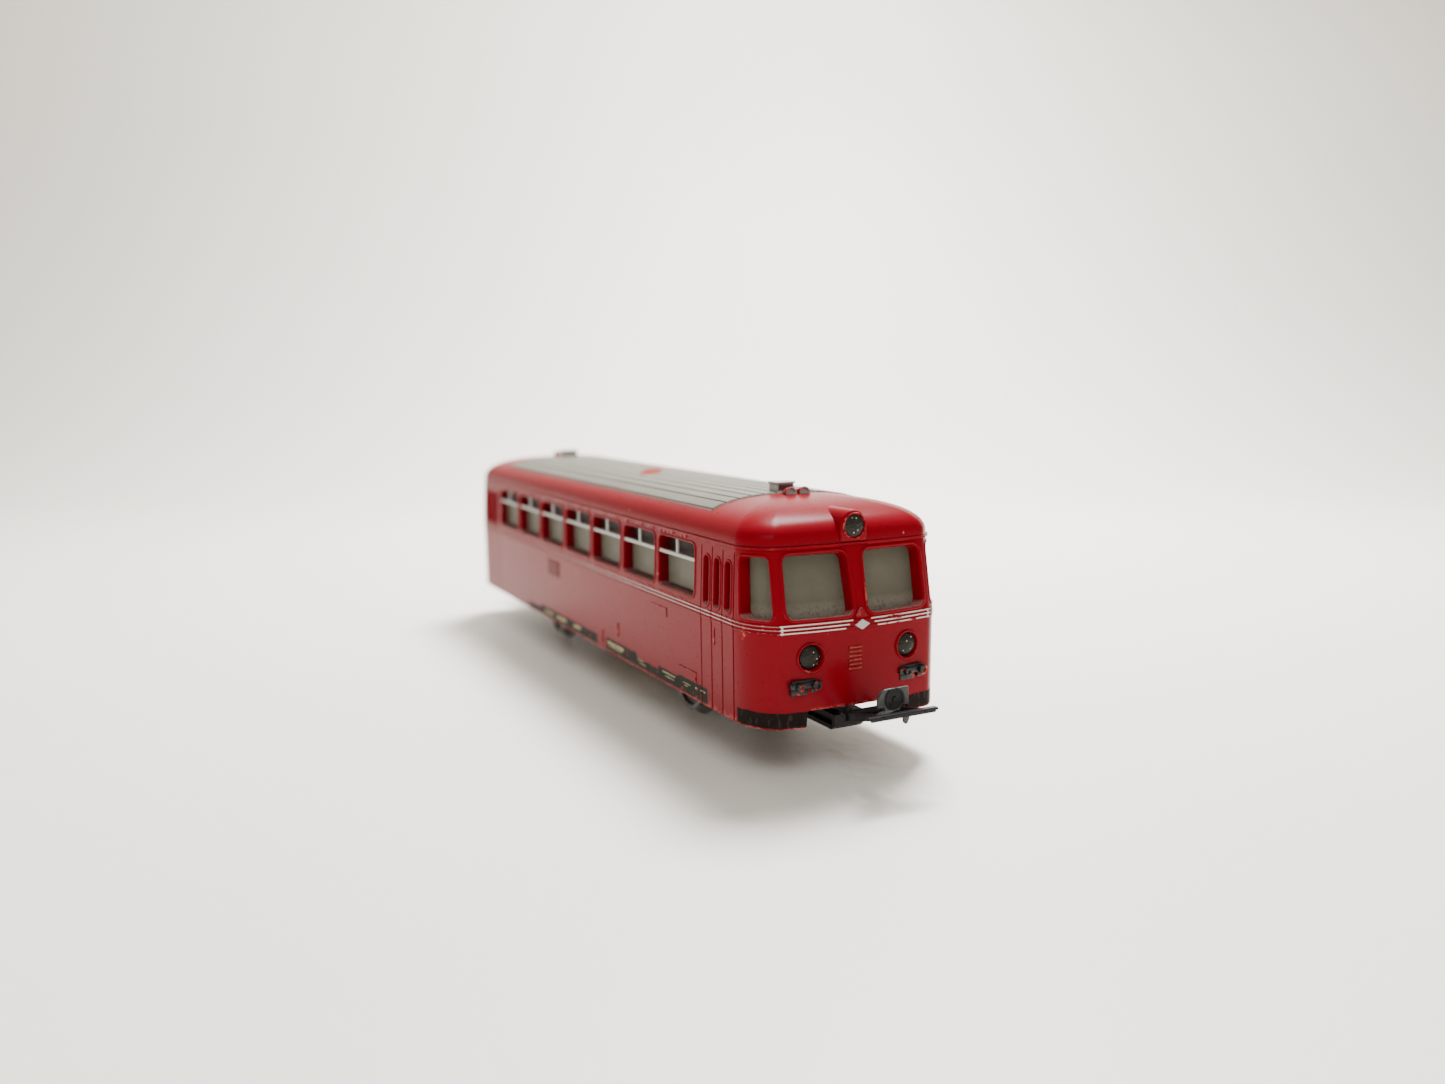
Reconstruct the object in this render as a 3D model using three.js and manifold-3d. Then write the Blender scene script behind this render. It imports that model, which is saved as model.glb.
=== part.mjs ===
// H0 scale (1:87) two-axle diesel railbus with a cab at each end.
// Millimetres, +X towards the front cab, +Y to its left, +Z up.
// The origin is on the plane the wheel flanges stand on, under the middle of the railbus.
import * as THREE from "three";
import { mergeVertices } from "three/addons/utils/BufferGeometryUtils.js";
import Module from "manifold-3d";

const wasm = await Module();
wasm.setup();

// ---- driving dimensions: body ----
const BODY_HALF_LENGTH = 73.7;
const BODY_HALF_WIDTH = 17;
const CORNER_START_X = 65.2;
const CREASE_X = 72.5;
const CREASE_Y = 13.2;
const WALL = 2;
const SKIRT_Z = 8.2;
const FRONT_EDGE_Z = 10.7;
const FRONT_EDGE_HALF_WIDTH = 9.1;
const BELT_Z = 23.3;
const GUTTER_Z = 34.3;
const ROOF_Z = 40.4;
const ROOF_START_Z = 34.9;
const ROOF_POWER = 2.4;
const RAKE = 2.6;
const CREASE_RAKE = 2;
const TUMBLEHOME = 0.35;
const SKIRT_TUCK = 0.1;
const BELT_RISE = 0.18;
const BELT_BAND_BOTTOM = 22.2;
const BELT_BAND_TOP = 23.7;
const GUTTER_RISE = 0.35;
const ROOF_HALF_WIDTH = BODY_HALF_WIDTH - TUMBLEHOME;
const CORNER_STEPS = 5;
const FRONT_STEPS = 3;

// ---- driving dimensions: openings ----
const WINDOW_COUNT = 7;
const WINDOW_PITCH = 15.17;
const WINDOW_WIDTH = 12.8;
const WINDOW_BOTTOM = 24.9;
const WINDOW_TOP = 33;
const WINDOW_RADIUS = 0.9;
const BAR_Z = 30.5;
const BAR_Y = 16.3;
const DOOR_SLOTS_X = [56.4, 59.9, 63.4];
const DOOR_SLOT_WIDTH = 1.7;
const DOOR_GROOVES_X = [54.6, 58.15, 61.65, 65.2];
const DOOR_SLOT_BOTTOM = 24.3;
const DOOR_SLOT_TOP = 31.6;
const SCREEN_BOTTOM = 24.2;
const SCREEN_TOP = 33.4;
const SCREEN_INNER_Y = 1.05;
const SCREEN_OUTER_Y = 11.9;
const CORNER_WINDOW = { x: 68.6, y: 16, width: 6.2, bottom: 24.2, top: 33.1, lean: 56 };

// ---- driving dimensions: mouldings on the ends and sides ----
const BRACKET = { x: 74.6, y: 9.4, halfWidth: 2.7, bottom: 13.2, split: 14.1, top: 15.1, knobR: 0.75 };
const LOUVRE = { slats: 6, bottom: 16.1, pitch: 0.63, thick: 0.3, y: -1.2, halfWidth: 1.1, x: 73.95 };
const HATCH = { x0: -18.1, x1: -11.6, bottom: 18.1, top: 21.4 };
const HANDLE = { x0: 35.9, x1: 41.8, bottom: 20.8, top: 21.2, legBottom: 19.8 };
const SIDE_RIBS = [{ x: 20, bottom: 12.2, top: 14.6 }, { x: 12, bottom: 9.4, top: 11.8 }];
const RIB_WIDTH = 0.4;
const DETAIL_RISE = 0.15;
const GROOVE_WIDTH = 0.3;
const GROOVE_DEPTH = 0.45;

// ---- driving dimensions: lamps and roof ----
const HEADLIGHT_Y = 8.5;
const HEADLIGHT_Z = 18.6;
const LENS_R = 1.75;
const LENS_HOLE_R = 1.95;
const TOP_LAMP_Z = 37.1;
const TOP_LAMP_FACE_X = 71;
const PANEL_HALF_LENGTH = 52.7;
const PANEL_HALF_WIDTH = 13.85;
const PANEL_THICKNESS = 0.8;
const PLANK_PITCH = 2.3;
const PANEL_GAP = 0.15;
const HOUSING_HALF_WIDTH = 2.35;
const HOUSING_ARCH_R = 2.2;
const VENT_X = 50.4;
const VENT_HEIGHT = 1.7;
const HORN_X = 55.6;
const HORN_Y = 1.25;
const HORN_R = 1;
const BULB_X = 62;

// ---- driving dimensions: running gear ----
const AXLE_X = 34.5;
const FLANGE_R = 6.3;
const TREAD_R = 5.2;
const AXLE_Z = FLANGE_R;
const AXLE_R = 1;
const WHEEL_BACK_Y = 7;
const WHEEL_FACE_Y = 9.5;
const BORE_GAP = 0.08;
const FLOOR_Z = 9.8;
const FLOOR_TOP_Z = 11.2;
const FLOOR_HALF_WIDTH = 14.3;
const FLOOR_HALF_LENGTH = 62;
const SCREW_X = 47;
const SCREW_Y = 12.4;
const SCREW_R = 0.7;
const SCREW_HEAD_R = 1.5;
const SCREW_HOLE_R = 0.9;
const SHAFT_R = 0.75;
const SHAFT_BORE_R = 0.83;

// ---- driving dimensions: couplers ----
const PIVOT_X = 64;
const NOSE_X = 70.7;
const NOSE_Z = 6;
const NOSE_HALF_WIDTH = 2.7;
const SHANK_Z = 8.8;
const SHANK_THICK = 0.5;
const BOW_HINGE_X = 75;
const BOW_HINGE_Z = 9.6;
const HOOK_X = 81;
const BOW_TIP_X = 84.3;
const BOW_HALF_WIDTH = 6;

// ---- driving dimensions: gear train (module, teeth) ----
const GEAR_WIDTH = 1;
const PRESSURE_ANGLE = THREE.MathUtils.degToRad(22);
const BACKLASH = 0.12;
const MOTOR_MODULE = 0.4;
const AXLE_MODULE = 0.5;
const PINION_TEETH = 10;
const REDUCTION_TEETH = 32;
const REDUCTION_SMALL_TEETH = 10;
const IDLER_TEETH = 22;
const IDLER_SMALL_TEETH = 12;
const AXLE_GEAR_TEETH = 18;
const GEAR_PLANES_Y = [3.1, 4.3, 5.5];
const WALL_Y0 = 1.6;
const WALL_Y1 = 2.8;

// ---- materials ----
const paint = (color, roughness, metalness = 0) =>
  new THREE.MeshStandardMaterial({ color, roughness, metalness });
const RED = paint(0xa51d22, 0.35);
const SILVER_GREY = paint(0xa4a195, 0.55, 0.2);
const FROSTED = paint(0x7d7a70, 0.6);
const LENS = paint(0x55524d, 0.15);
const BLACK = paint(0x18181a, 0.45, 0.3);
const STEEL = paint(0x8f9194, 0.35, 0.9);
const DARK_STEEL = paint(0x3a3b3d, 0.4, 0.8);
const BRASS = paint(0xb8933f, 0.35, 0.9);
const COPPER = paint(0xa65a2e, 0.4, 0.8);
const BROWN = paint(0x5b3a24, 0.6);
const RUBBER = paint(0x222222, 0.9);
const NYLON = paint(0xd8d2c0, 0.6);

const railbus = new THREE.Group();
railbus.name = "railbus";

function add(name, shape, material) {
  const mesh = new THREE.Mesh(shape.isBufferGeometry ? shape : toGeometry(shape), material);
  mesh.name = name;
  railbus.add(mesh);
  return mesh;
}

// ---- solids from three.js geometry ----
function signedVolume(geometry) {
  const p = geometry.attributes.position;
  const index = geometry.index.array;
  const [a, b, c] = [new THREE.Vector3(), new THREE.Vector3(), new THREE.Vector3()];
  let total = 0;
  for (let i = 0; i < index.length; i += 3) {
    a.fromBufferAttribute(p, index[i]);
    b.fromBufferAttribute(p, index[i + 1]);
    c.fromBufferAttribute(p, index[i + 2]);
    total += a.dot(b.cross(c));
  }
  return total;
}

function solid(geometry) {
  let g = geometry.clone();
  g.deleteAttribute("normal");
  g.deleteAttribute("uv");
  g = mergeVertices(g, 1e-4);
  const index = Array.from(g.index.array);
  const kept = [];
  for (let i = 0; i < index.length; i += 3) {
    const [a, b, c] = index.slice(i, i + 3);
    if (a !== b && b !== c && c !== a) kept.push(a, b, c);
  }
  if (signedVolume(g) < 0) kept.reverse();
  const result = new wasm.Manifold(new wasm.Mesh({
    numProp: 3,
    vertProperties: new Float32Array(g.attributes.position.array),
    triVerts: new Uint32Array(kept),
  }));
  if (result.isEmpty()) throw new Error("a shape is not a closed solid");
  return result;
}

function toGeometry(manifold) {
  const mesh = manifold.getMesh();
  const g = new THREE.BufferGeometry();
  g.setAttribute("position", new THREE.BufferAttribute(new Float32Array(mesh.vertProperties), 3));
  g.setIndex(new THREE.BufferAttribute(new Uint32Array(mesh.triVerts), 1));
  g.computeVertexNormals();
  return g;
}

const join = (...parts) => parts.reduce((a, b) => a.add(b));
const cut = (base, ...tools) => tools.reduce((a, b) => a.subtract(b), base);

function box(x0, x1, y0, y1, z0, z1) {
  const g = new THREE.BoxGeometry(x1 - x0, y1 - y0, z1 - z0);
  return solid(g.translate((x0 + x1) / 2, (y0 + y1) / 2, (z0 + z1) / 2));
}

function polygon(points) {
  return new THREE.Shape(points.map(([x, y]) => new THREE.Vector2(x, y)));
}

const flat = (depth) => ({ depth, bevelEnabled: false, curveSegments: 6 });

// A shape drawn in (x, z), pushed from y0 to y1.
function alongY(shape, y0, y1) {
  const g = new THREE.ExtrudeGeometry(shape, flat(y1 - y0));
  return solid(g.rotateX(Math.PI / 2).translate(0, y1, 0));
}

// A shape drawn in (y, z), pushed from x0 to x1.
function alongX(shape, x0, x1) {
  const g = new THREE.ExtrudeGeometry(shape, flat(x1 - x0));
  const turn = new THREE.Matrix4().makeBasis(
    new THREE.Vector3(0, 1, 0), new THREE.Vector3(0, 0, 1), new THREE.Vector3(1, 0, 0));
  return solid(g.applyMatrix4(turn).translate(x0, 0, 0));
}

function alongZ(shape, z0, z1) {
  const g = new THREE.ExtrudeGeometry(shape, flat(z1 - z0));
  return solid(g.translate(0, 0, z0));
}

function rod(axis, radius, from, to, centre, segments = 14) {
  const g = new THREE.CylinderGeometry(radius, radius, to - from, segments);
  const middle = (from + to) / 2;
  if (axis === "x") return solid(g.rotateZ(-Math.PI / 2).translate(middle, centre[0], centre[1]));
  if (axis === "y") return solid(g.translate(centre[0], middle, centre[1]));
  return solid(g.rotateX(Math.PI / 2).translate(centre[0], centre[1], middle));
}

// A turned profile of [radius, position along the axis], closed on itself or on the axis.
function turned(axis, profile, segments) {
  const g = new THREE.LatheGeometry(profile.map(([r, s]) => new THREE.Vector2(r, s)), segments);
  if (axis === "x") g.rotateZ(-Math.PI / 2);
  if (axis === "z") g.rotateX(Math.PI / 2);
  return solid(g);
}

function roundedRect(x0, x1, z0, z1, radius, steps = 2) {
  const points = [];
  const corners = [[x1 - radius, z1 - radius, 0], [x0 + radius, z1 - radius, 1],
    [x0 + radius, z0 + radius, 2], [x1 - radius, z0 + radius, 3]];
  for (const [cx, cz, quarter] of corners) {
    for (let i = 0; i <= steps; i++) {
      const angle = (quarter + i / steps) * Math.PI / 2;
      points.push([cx + radius * Math.cos(angle), cz + radius * Math.sin(angle)]);
    }
  }
  return polygon(points);
}

// ---- body shape: a stack of plan outlines ----
// One quadrant of the plan, from the side to the middle of the front.
function quadrant(halfLength, halfWidth, inset) {
  const creaseX = CREASE_X - CREASE_RAKE * (BODY_HALF_LENGTH - halfLength) / RAKE;
  const start = new THREE.Vector2(CORNER_START_X, halfWidth);
  const bend = new THREE.Vector2(creaseX - 2.4, halfWidth - 0.15);
  const crease = new THREE.Vector2(creaseX, CREASE_Y);
  const corner = new THREE.QuadraticBezierCurve(start, bend, crease);
  const points = [new THREE.Vector2(0, halfWidth), ...corner.getPoints(CORNER_STEPS)];
  for (let i = 1; i <= FRONT_STEPS; i++) {
    const y = crease.y * (1 - i / FRONT_STEPS);
    const bow = (halfLength - creaseX) * (1 - (y / CREASE_Y) ** 2);
    points.push(new THREE.Vector2(crease.x + bow, y));
  }
  return points.map((p) => shrink(p, inset, halfLength, halfWidth));
}

// Moves a plan point inwards by about the wall thickness.
function shrink(point, inset, halfLength, halfWidth) {
  const away = Math.max(0, point.x - CORNER_START_X) / (halfLength - CORNER_START_X);
  const y = point.y * (1 - inset / halfWidth);
  return new THREE.Vector2(point.x - inset * Math.min(1, away * 1.15), y);
}

function ring(halfLength, halfWidth, inset) {
  const quarter = quadrant(halfLength, halfWidth, inset);
  const front = quarter.slice(1);
  const half = [...front, ...front.slice(0, -1).reverse().map((p) => new THREE.Vector2(p.x, -p.y))];
  return [...half, ...half.map((p) => new THREE.Vector2(-p.x, -p.y))].reverse();
}

// Half length and half width of the outside at each height.
function bodySize(z) {
  if (z <= BELT_Z) {
    return [BODY_HALF_LENGTH, BODY_HALF_WIDTH - SKIRT_TUCK * (BELT_Z - z) / (BELT_Z - SKIRT_Z)];
  }
  const up = (z - BELT_Z) / (GUTTER_Z - BELT_Z);
  if (z <= GUTTER_Z) return [BODY_HALF_LENGTH - RAKE * up, BODY_HALF_WIDTH - TUMBLEHOME * up];
  return [BODY_HALF_LENGTH - RAKE, ROOF_HALF_WIDTH];
}

// The roof narrows and shortens with height as a super-ellipse.
function roofRing(grow, top, inset) {
  const z = ROOF_START_Z + (top - ROOF_START_Z) * (1 - grow ** ROOF_POWER) ** (1 / ROOF_POWER);
  const halfWidth = (ROOF_HALF_WIDTH - inset) * grow;
  const reach = BODY_HALF_LENGTH - RAKE - PANEL_HALF_LENGTH - inset;
  const points = ring(BODY_HALF_LENGTH - RAKE, ROOF_HALF_WIDTH, inset).map((p) => {
    const beyond = Math.max(0, Math.abs(p.x) - PANEL_HALF_LENGTH) / reach;
    const x = Math.sign(p.x) * (PANEL_HALF_LENGTH + reach * beyond * grow);
    return new THREE.Vector2(x, p.y * halfWidth / (ROOF_HALF_WIDTH - inset));
  });
  return { z, points };
}

function loft(levels) {
  const count = levels[0].points.length;
  const positions = levels.flatMap(({ z, points }) => points.flatMap((p) => [p.x, p.y, z]));
  const index = [];
  for (let level = 0; level < levels.length - 1; level++) {
    for (let i = 0; i < count; i++) {
      const a = level * count + i;
      const b = level * count + (i + 1) % count;
      index.push(a, b, b + count, a, b + count, a + count);
    }
  }
  const cap = THREE.ShapeUtils.triangulateShape(levels[0].points, []);
  const last = (levels.length - 1) * count;
  for (const [a, b, c] of cap) index.push(a, c, b, last + a, last + b, last + c);
  const g = new THREE.BufferGeometry();
  g.setAttribute("position", new THREE.BufferAttribute(new Float32Array(positions), 3));
  g.setIndex(index);
  return solid(g);
}

const ROOF_GROWS = [1, 0.98, 0.92, 0.82, 0.66, 0.42, 0.15];
const CEILING_GROWS = [1, 0.9, 0.66, 0.3];

function bodyLoft(inset, top, bottom, moulded, grows = ROOF_GROWS) {
  const levels = [];
  const place = (z, proud = 0) => {
    const [halfLength, halfWidth] = bodySize(z);
    levels.push({ z, points: ring(halfLength, halfWidth, inset - proud) });
  };
  place(bottom);
  if (moulded) {
    place(BELT_BAND_BOTTOM - 0.1);
    place(BELT_BAND_BOTTOM, BELT_RISE);
    place(BELT_BAND_TOP, BELT_RISE);
    place(BELT_BAND_TOP + 0.1);
    place(GUTTER_Z - 0.1);
    place(GUTTER_Z, GUTTER_RISE);
    place(GUTTER_Z + 0.35, GUTTER_RISE);
  } else {
    place(BELT_Z);
    place(GUTTER_Z);
  }
  for (const grow of grows) levels.push(roofRing(grow, top, inset));
  return loft(levels);
}

// ---- openings ----
const windowX = (i) => (i - (WINDOW_COUNT - 1) / 2) * WINDOW_PITCH;

function sideOpenings(clear, y0, y1, steps = 2) {
  const tools = [];
  for (let i = 0; i < WINDOW_COUNT; i++) {
    const half = WINDOW_WIDTH / 2 - clear;
    const shape = roundedRect(windowX(i) - half, windowX(i) + half,
      WINDOW_BOTTOM + clear, WINDOW_TOP - clear, WINDOW_RADIUS, steps);
    tools.push(alongY(shape, y0, y1));
  }
  return tools;
}

function doorOpenings(end) {
  const half = DOOR_SLOT_WIDTH / 2;
  return DOOR_SLOTS_X.map((x) => alongY(roundedRect(end * x - half, end * x + half,
    DOOR_SLOT_BOTTOM, DOOR_SLOT_TOP, half - 0.01), -BODY_HALF_WIDTH - 1, BODY_HALF_WIDTH + 1));
}

function screenOpening(side) {
  const inner = side * SCREEN_INNER_Y;
  const outer = side * SCREEN_OUTER_Y;
  const topShift = side * 0.35;
  const shape = polygon([[inner, SCREEN_BOTTOM + 0.8], [inner + side * 0.8, SCREEN_BOTTOM],
    [outer - side, SCREEN_BOTTOM], [outer, SCREEN_BOTTOM + 1], [outer, SCREEN_TOP - 1],
    [outer - side, SCREEN_TOP], [inner + topShift + side * 0.8, SCREEN_TOP],
    [inner + topShift, SCREEN_TOP - 0.8]]);
  return alongX(shape, 62, BODY_HALF_LENGTH + 2);
}

function cornerOpening(side) {
  const { x, y, width, bottom, top, lean } = CORNER_WINDOW;
  const window = alongX(roundedRect(-width / 2, width / 2, bottom, top, 1), -8, 8);
  return window.rotate([0, 0, side * lean]).translate([x, side * y, 0]);
}

function endOpenings() {
  const lamps = [-1, 1].map((side) =>
    rod("x", LENS_HOLE_R, 60, BODY_HALF_LENGTH + 1, [side * HEADLIGHT_Y, HEADLIGHT_Z]));
  const topLamp = rod("x", LENS_HOLE_R, 60, BODY_HALF_LENGTH + 1, [0, TOP_LAMP_Z]);
  const apron = box(64, BODY_HALF_LENGTH + 2, -FRONT_EDGE_HALF_WIDTH, FRONT_EDGE_HALF_WIDTH,
    SKIRT_Z - 1, FRONT_EDGE_Z);
  return [...lamps, topLamp, apron, screenOpening(-1), screenOpening(1),
    cornerOpening(-1), cornerOpening(1)];
}

const turnedRound = (part) => part.rotate([0, 0, 180]);

// ---- body shell ----
function lampHousing() {
  const arch = new THREE.Shape();
  arch.moveTo(-HOUSING_HALF_WIDTH, ROOF_START_Z - 0.1);
  arch.lineTo(HOUSING_HALF_WIDTH, ROOF_START_Z - 0.1);
  arch.lineTo(HOUSING_ARCH_R, TOP_LAMP_Z);
  arch.absarc(0, TOP_LAMP_Z, HOUSING_ARCH_R, 0, Math.PI, false);
  return alongX(arch, 60, TOP_LAMP_FACE_X);
}

function bracket(side) {
  const { x, halfWidth, bottom, split, top, knobR } = BRACKET;
  const y = side * BRACKET.y;
  const bar = box(72, x, y - halfWidth, y + halfWidth, split, top);
  const lower = box(72, x - 0.4, y - halfWidth + 0.4, y + halfWidth - 0.4, bottom, split + 0.1);
  const knobs = [-1, 1].map((s) => rod("x", knobR, 72, x + 0.4, [y + s * 1.45, split + 0.4], 10));
  return join(bar, lower, ...knobs);
}

function louvre() {
  const slats = [];
  for (let i = 0; i < LOUVRE.slats; i++) {
    const z = LOUVRE.bottom + i * LOUVRE.pitch;
    slats.push(box(72.5, LOUVRE.x, LOUVRE.y - LOUVRE.halfWidth, LOUVRE.y + LOUVRE.halfWidth,
      z, z + LOUVRE.thick));
  }
  return slats;
}

function sideDetails(side) {
  const face = side * (BODY_HALF_WIDTH + DETAIL_RISE);
  const plate = (x0, x1, z0, z1) =>
    box(x0, x1, Math.min(face, face - side), Math.max(face, face - side), z0, z1);
  return [plate(HATCH.x0, HATCH.x1, HATCH.bottom, HATCH.top),
    plate(HANDLE.x0, HANDLE.x1, HANDLE.bottom, HANDLE.top),
    plate(HANDLE.x1 - RIB_WIDTH, HANDLE.x1, HANDLE.legBottom, HANDLE.top),
    ...SIDE_RIBS.map(({ x, bottom, top }) => plate(x, x + RIB_WIDTH, bottom, top))];
}

function doorGrooves(side) {
  const face = side * (BODY_HALF_WIDTH + 1);
  const floor = side * (BODY_HALF_WIDTH - GROOVE_DEPTH);
  const half = GROOVE_WIDTH / 2;
  return [-1, 1].flatMap((end) => DOOR_GROOVES_X.map((x) =>
    box(end * x - half, end * x + half, Math.min(face, floor), Math.max(face, floor),
      SKIRT_Z - 1, 33)));
}

function screwBoss(x, y) {
  const side = Math.sign(y);
  const outer = side * (BODY_HALF_WIDTH - 1);
  const inner = y - side * 2;
  const block = box(x - 2, x + 2, Math.min(inner, outer), Math.max(inner, outer),
    FLOOR_TOP_Z + 0.1, 18);
  return cut(block, rod("z", 0.8, FLOOR_TOP_Z - 1, 17, [x, y], 12));
}

const screwPlaces = [[SCREW_X, SCREW_Y], [SCREW_X, -SCREW_Y], [-SCREW_X, SCREW_Y], [-SCREW_X, -SCREW_Y]];

function panelBlank(lift, grow, depth) {
  const x = PANEL_HALF_LENGTH + grow;
  const y = PANEL_HALF_WIDTH + grow;
  const above = cut(box(-x, x, -y, y, 34, 45), bodyLoft(depth, ROOF_Z - depth, SKIRT_Z, false));
  return lift ? above : above.intersect(bodyLoft(0, ROOF_Z, SKIRT_Z, false));
}

function bodyShell() {
  const ends = [lampHousing(), bracket(-1), bracket(1), ...louvre()];
  const outside = join(bodyLoft(0, ROOF_Z, SKIRT_Z, true), ...ends, ...ends.map(turnedRound),
    ...sideDetails(-1), ...sideDetails(1));
  const inside = bodyLoft(WALL, ROOF_Z - WALL, SKIRT_Z - 1, false, CEILING_GROWS);
  const openings = endOpenings();
  const hollow = cut(outside, inside, ...sideOpenings(0, -BODY_HALF_WIDTH - 1, BODY_HALF_WIDTH + 1),
    ...doorOpenings(1), ...doorOpenings(-1), ...openings, ...openings.map(turnedRound),
    ...doorGrooves(-1), ...doorGrooves(1), panelBlank(true, PANEL_GAP, PANEL_THICKNESS + PANEL_GAP));
  return join(hollow, ...screwPlaces.map(([x, y]) => screwBoss(x, y)));
}

function roofPanel() {
  const grooves = [];
  for (let i = -5; i <= 5; i++) {
    const y = i * PLANK_PITCH;
    const top = ROOF_START_Z + (ROOF_Z - ROOF_START_Z)
      * (1 - Math.abs(y / ROOF_HALF_WIDTH) ** ROOF_POWER) ** (1 / ROOF_POWER);
    grooves.push(box(-60, 60, y - 0.12, y + 0.12, top - 0.25, top + 1));
  }
  return cut(panelBlank(false, 0, PANEL_THICKNESS), ...grooves);
}

// ---- glazing ----
function sideGlazing(side) {
  const y0 = 13.4;
  const y1 = 14.3;
  const plate = box(-PANEL_HALF_LENGTH, PANEL_HALF_LENGTH, y0, y1, 23.8, 33.9);
  const pads = sideOpenings(0.2, y1 - 0.2, 15.6, 1);
  const bars = [];
  for (let i = 0; i < WINDOW_COUNT; i++) {
    const half = WINDOW_WIDTH / 2 - 0.2;
    bars.push(box(windowX(i) - half, windowX(i) + half, 15.4, BAR_Y, BAR_Z - 0.3, BAR_Z + 0.3));
    bars.push(box(windowX(i) - 0.25, windowX(i) + 0.25, 15.4, BAR_Y, BAR_Z, WINDOW_TOP - 0.2));
  }
  const left = join(plate, ...pads, ...bars);
  return side > 0 ? left : turnedRound(left);
}

function cabGlazing() {
  const outer = bodyLoft(WALL + 0.15, ROOF_Z - WALL - 0.15, SKIRT_Z, false);
  const inner = bodyLoft(WALL + 0.95, ROOF_Z - WALL - 0.95, SKIRT_Z - 1, false);
  const region = box(PANEL_HALF_LENGTH + 0.6, BODY_HALF_LENGTH + 1, -BODY_HALF_WIDTH, BODY_HALF_WIDTH,
    23.8, 33.9);
  return cut(outer, inner).intersect(region);
}

// ---- lamps ----
function lensShape(face, y, z) {
  const profile = [[0, -1.4], [LENS_R, -1.4], [LENS_R, 0], [LENS_R * 0.8, 0.25], [LENS_R * 0.4, 0.4],
    [0, 0.45]];
  return turned("x", profile, 14).translate([face, y, z]);
}

function bulb() {
  const profile = [[0, -5], [1, -5], [1, -2.2], [1.35, -1.6], [1.35, 0.2], [1.05, 1.1], [0.5, 1.6],
    [0, 1.7]];
  return turned("x", profile, 12).translate([BULB_X, 0, HEADLIGHT_Z]);
}

function bulbHolder() {
  const foot = box(55, 60, -3, 3, FLOOR_TOP_Z + 0.1, FLOOR_TOP_Z + 0.8);
  const post = box(57, 58.2, -2.2, 2.2, FLOOR_TOP_Z + 0.5, HEADLIGHT_Z + 2);
  const sleeve = rod("x", 1.9, 56.6, 59.2, [0, HEADLIGHT_Z], 16);
  return cut(join(foot, post, sleeve), rod("x", 1.12, 50, 70, [0, HEADLIGHT_Z], 16));
}

// ---- roof fittings ----
function roofVent() {
  const top = ROOF_Z + VENT_HEIGHT;
  const shape = polygon([[-1.95, ROOF_Z - 0.7], [1.95, ROOF_Z - 0.7], [1.75, top - 0.2], [1.45, top],
    [-1.45, top], [-1.75, top - 0.2]]);
  const block = alongX(shape, VENT_X - 1.35, VENT_X + 1.35);
  const seat = bodyLoft(-0.06, ROOF_Z + 0.06, SKIRT_Z, false);
  return cut(block, seat, box(VENT_X + 0.9, VENT_X + 2, -1.3, 1.3, ROOF_Z + 0.4, ROOF_Z + 1.3));
}

function horn(y) {
  const profile = [[0, 0], [HORN_R, 0], [HORN_R, 0.35], [0.75, 1.3], [0.4, 2.1], [0, 2.4]];
  const bell = turned("x", profile, 14).rotate([0, 180, 0]).translate([HORN_X, y, ROOF_Z]);
  const seat = bodyLoft(-0.06, ROOF_Z + 0.06, SKIRT_Z, false);
  return cut(bell, seat);
}

// ---- chassis ----
function noseBlock() {
  const side = polygon([[56, FLOOR_Z + 0.2], [56, NOSE_Z + 1.4], [58, NOSE_Z], [NOSE_X - 1, NOSE_Z],
    [NOSE_X, NOSE_Z + 0.8], [NOSE_X, FLOOR_Z + 0.2]]);
  const block = alongY(side, -NOSE_HALF_WIDTH, NOSE_HALF_WIDTH);
  const slot = box(61.2, NOSE_X + 1, -5, 5, SHANK_Z - 0.35, SHANK_Z + SHANK_THICK + 0.3);
  const pockets = [-1, 1].map((s) => box(62, NOSE_X - 0.8, Math.min(s * 1.9, s * 4),
    Math.max(s * 1.9, s * 4), NOSE_Z + 0.7, SHANK_Z - 0.9));
  return cut(block, slot, ...pockets);
}

const axleHole = (x) => rod("y", AXLE_R + BORE_GAP, -30, 30, [x, AXLE_Z]);

function cheek(x, y0, y1) {
  const shape = polygon([[x - 4, FLOOR_Z + 0.2], [x - 2.6, 4.2], [x + 2.6, 4.2], [x + 4, FLOOR_Z + 0.2]]);
  return alongY(shape, y0, y1);
}

function floorPlate() {
  const plate = alongZ(roundedRect(-FLOOR_HALF_LENGTH, FLOOR_HALF_LENGTH, -FLOOR_HALF_WIDTH,
    FLOOR_HALF_WIDTH, 3), FLOOR_Z, FLOOR_TOP_Z);
  const tongues = [-1, 1].map((s) => box(Math.min(s * 60, s * NOSE_X), Math.max(s * 60, s * NOSE_X),
    -7, 7, FLOOR_Z, FLOOR_TOP_Z));
  const wells = [-1, 1].flatMap((end) => [-1, 1].map((s) => box(end * AXLE_X - 7.2, end * AXLE_X + 7.2,
    Math.min(s * 6.6, s * 10.2), Math.max(s * 6.6, s * 10.2), 8, 12)));
  const gearSlot = box(-AXLE_X - 7, -12, WALL_Y1 + 0.1, 6.9, 8, 12);
  const holes = screwPlaces.map(([x, y]) => rod("z", SCREW_HOLE_R, 8, 12, [x, y], 12));
  return cut(join(plate, ...tongues), ...wells, gearSlot, ...holes);
}

function gearWall() {
  const shape = polygon([[-39, FLOOR_Z + 0.2], [-37.4, 4], [-31.6, 4], [-29, FLOOR_Z + 0.2],
    [-4, FLOOR_Z + 0.2], [-4, 25], [-8, 28], [-21, 28], [-30, 20], [-39, 13]]);
  return alongY(shape, WALL_Y0, WALL_Y1);
}

// ---- gear train geometry in the (x, z) plane ----
const pitchR = (module, teeth) => module * teeth / 2;

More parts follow.
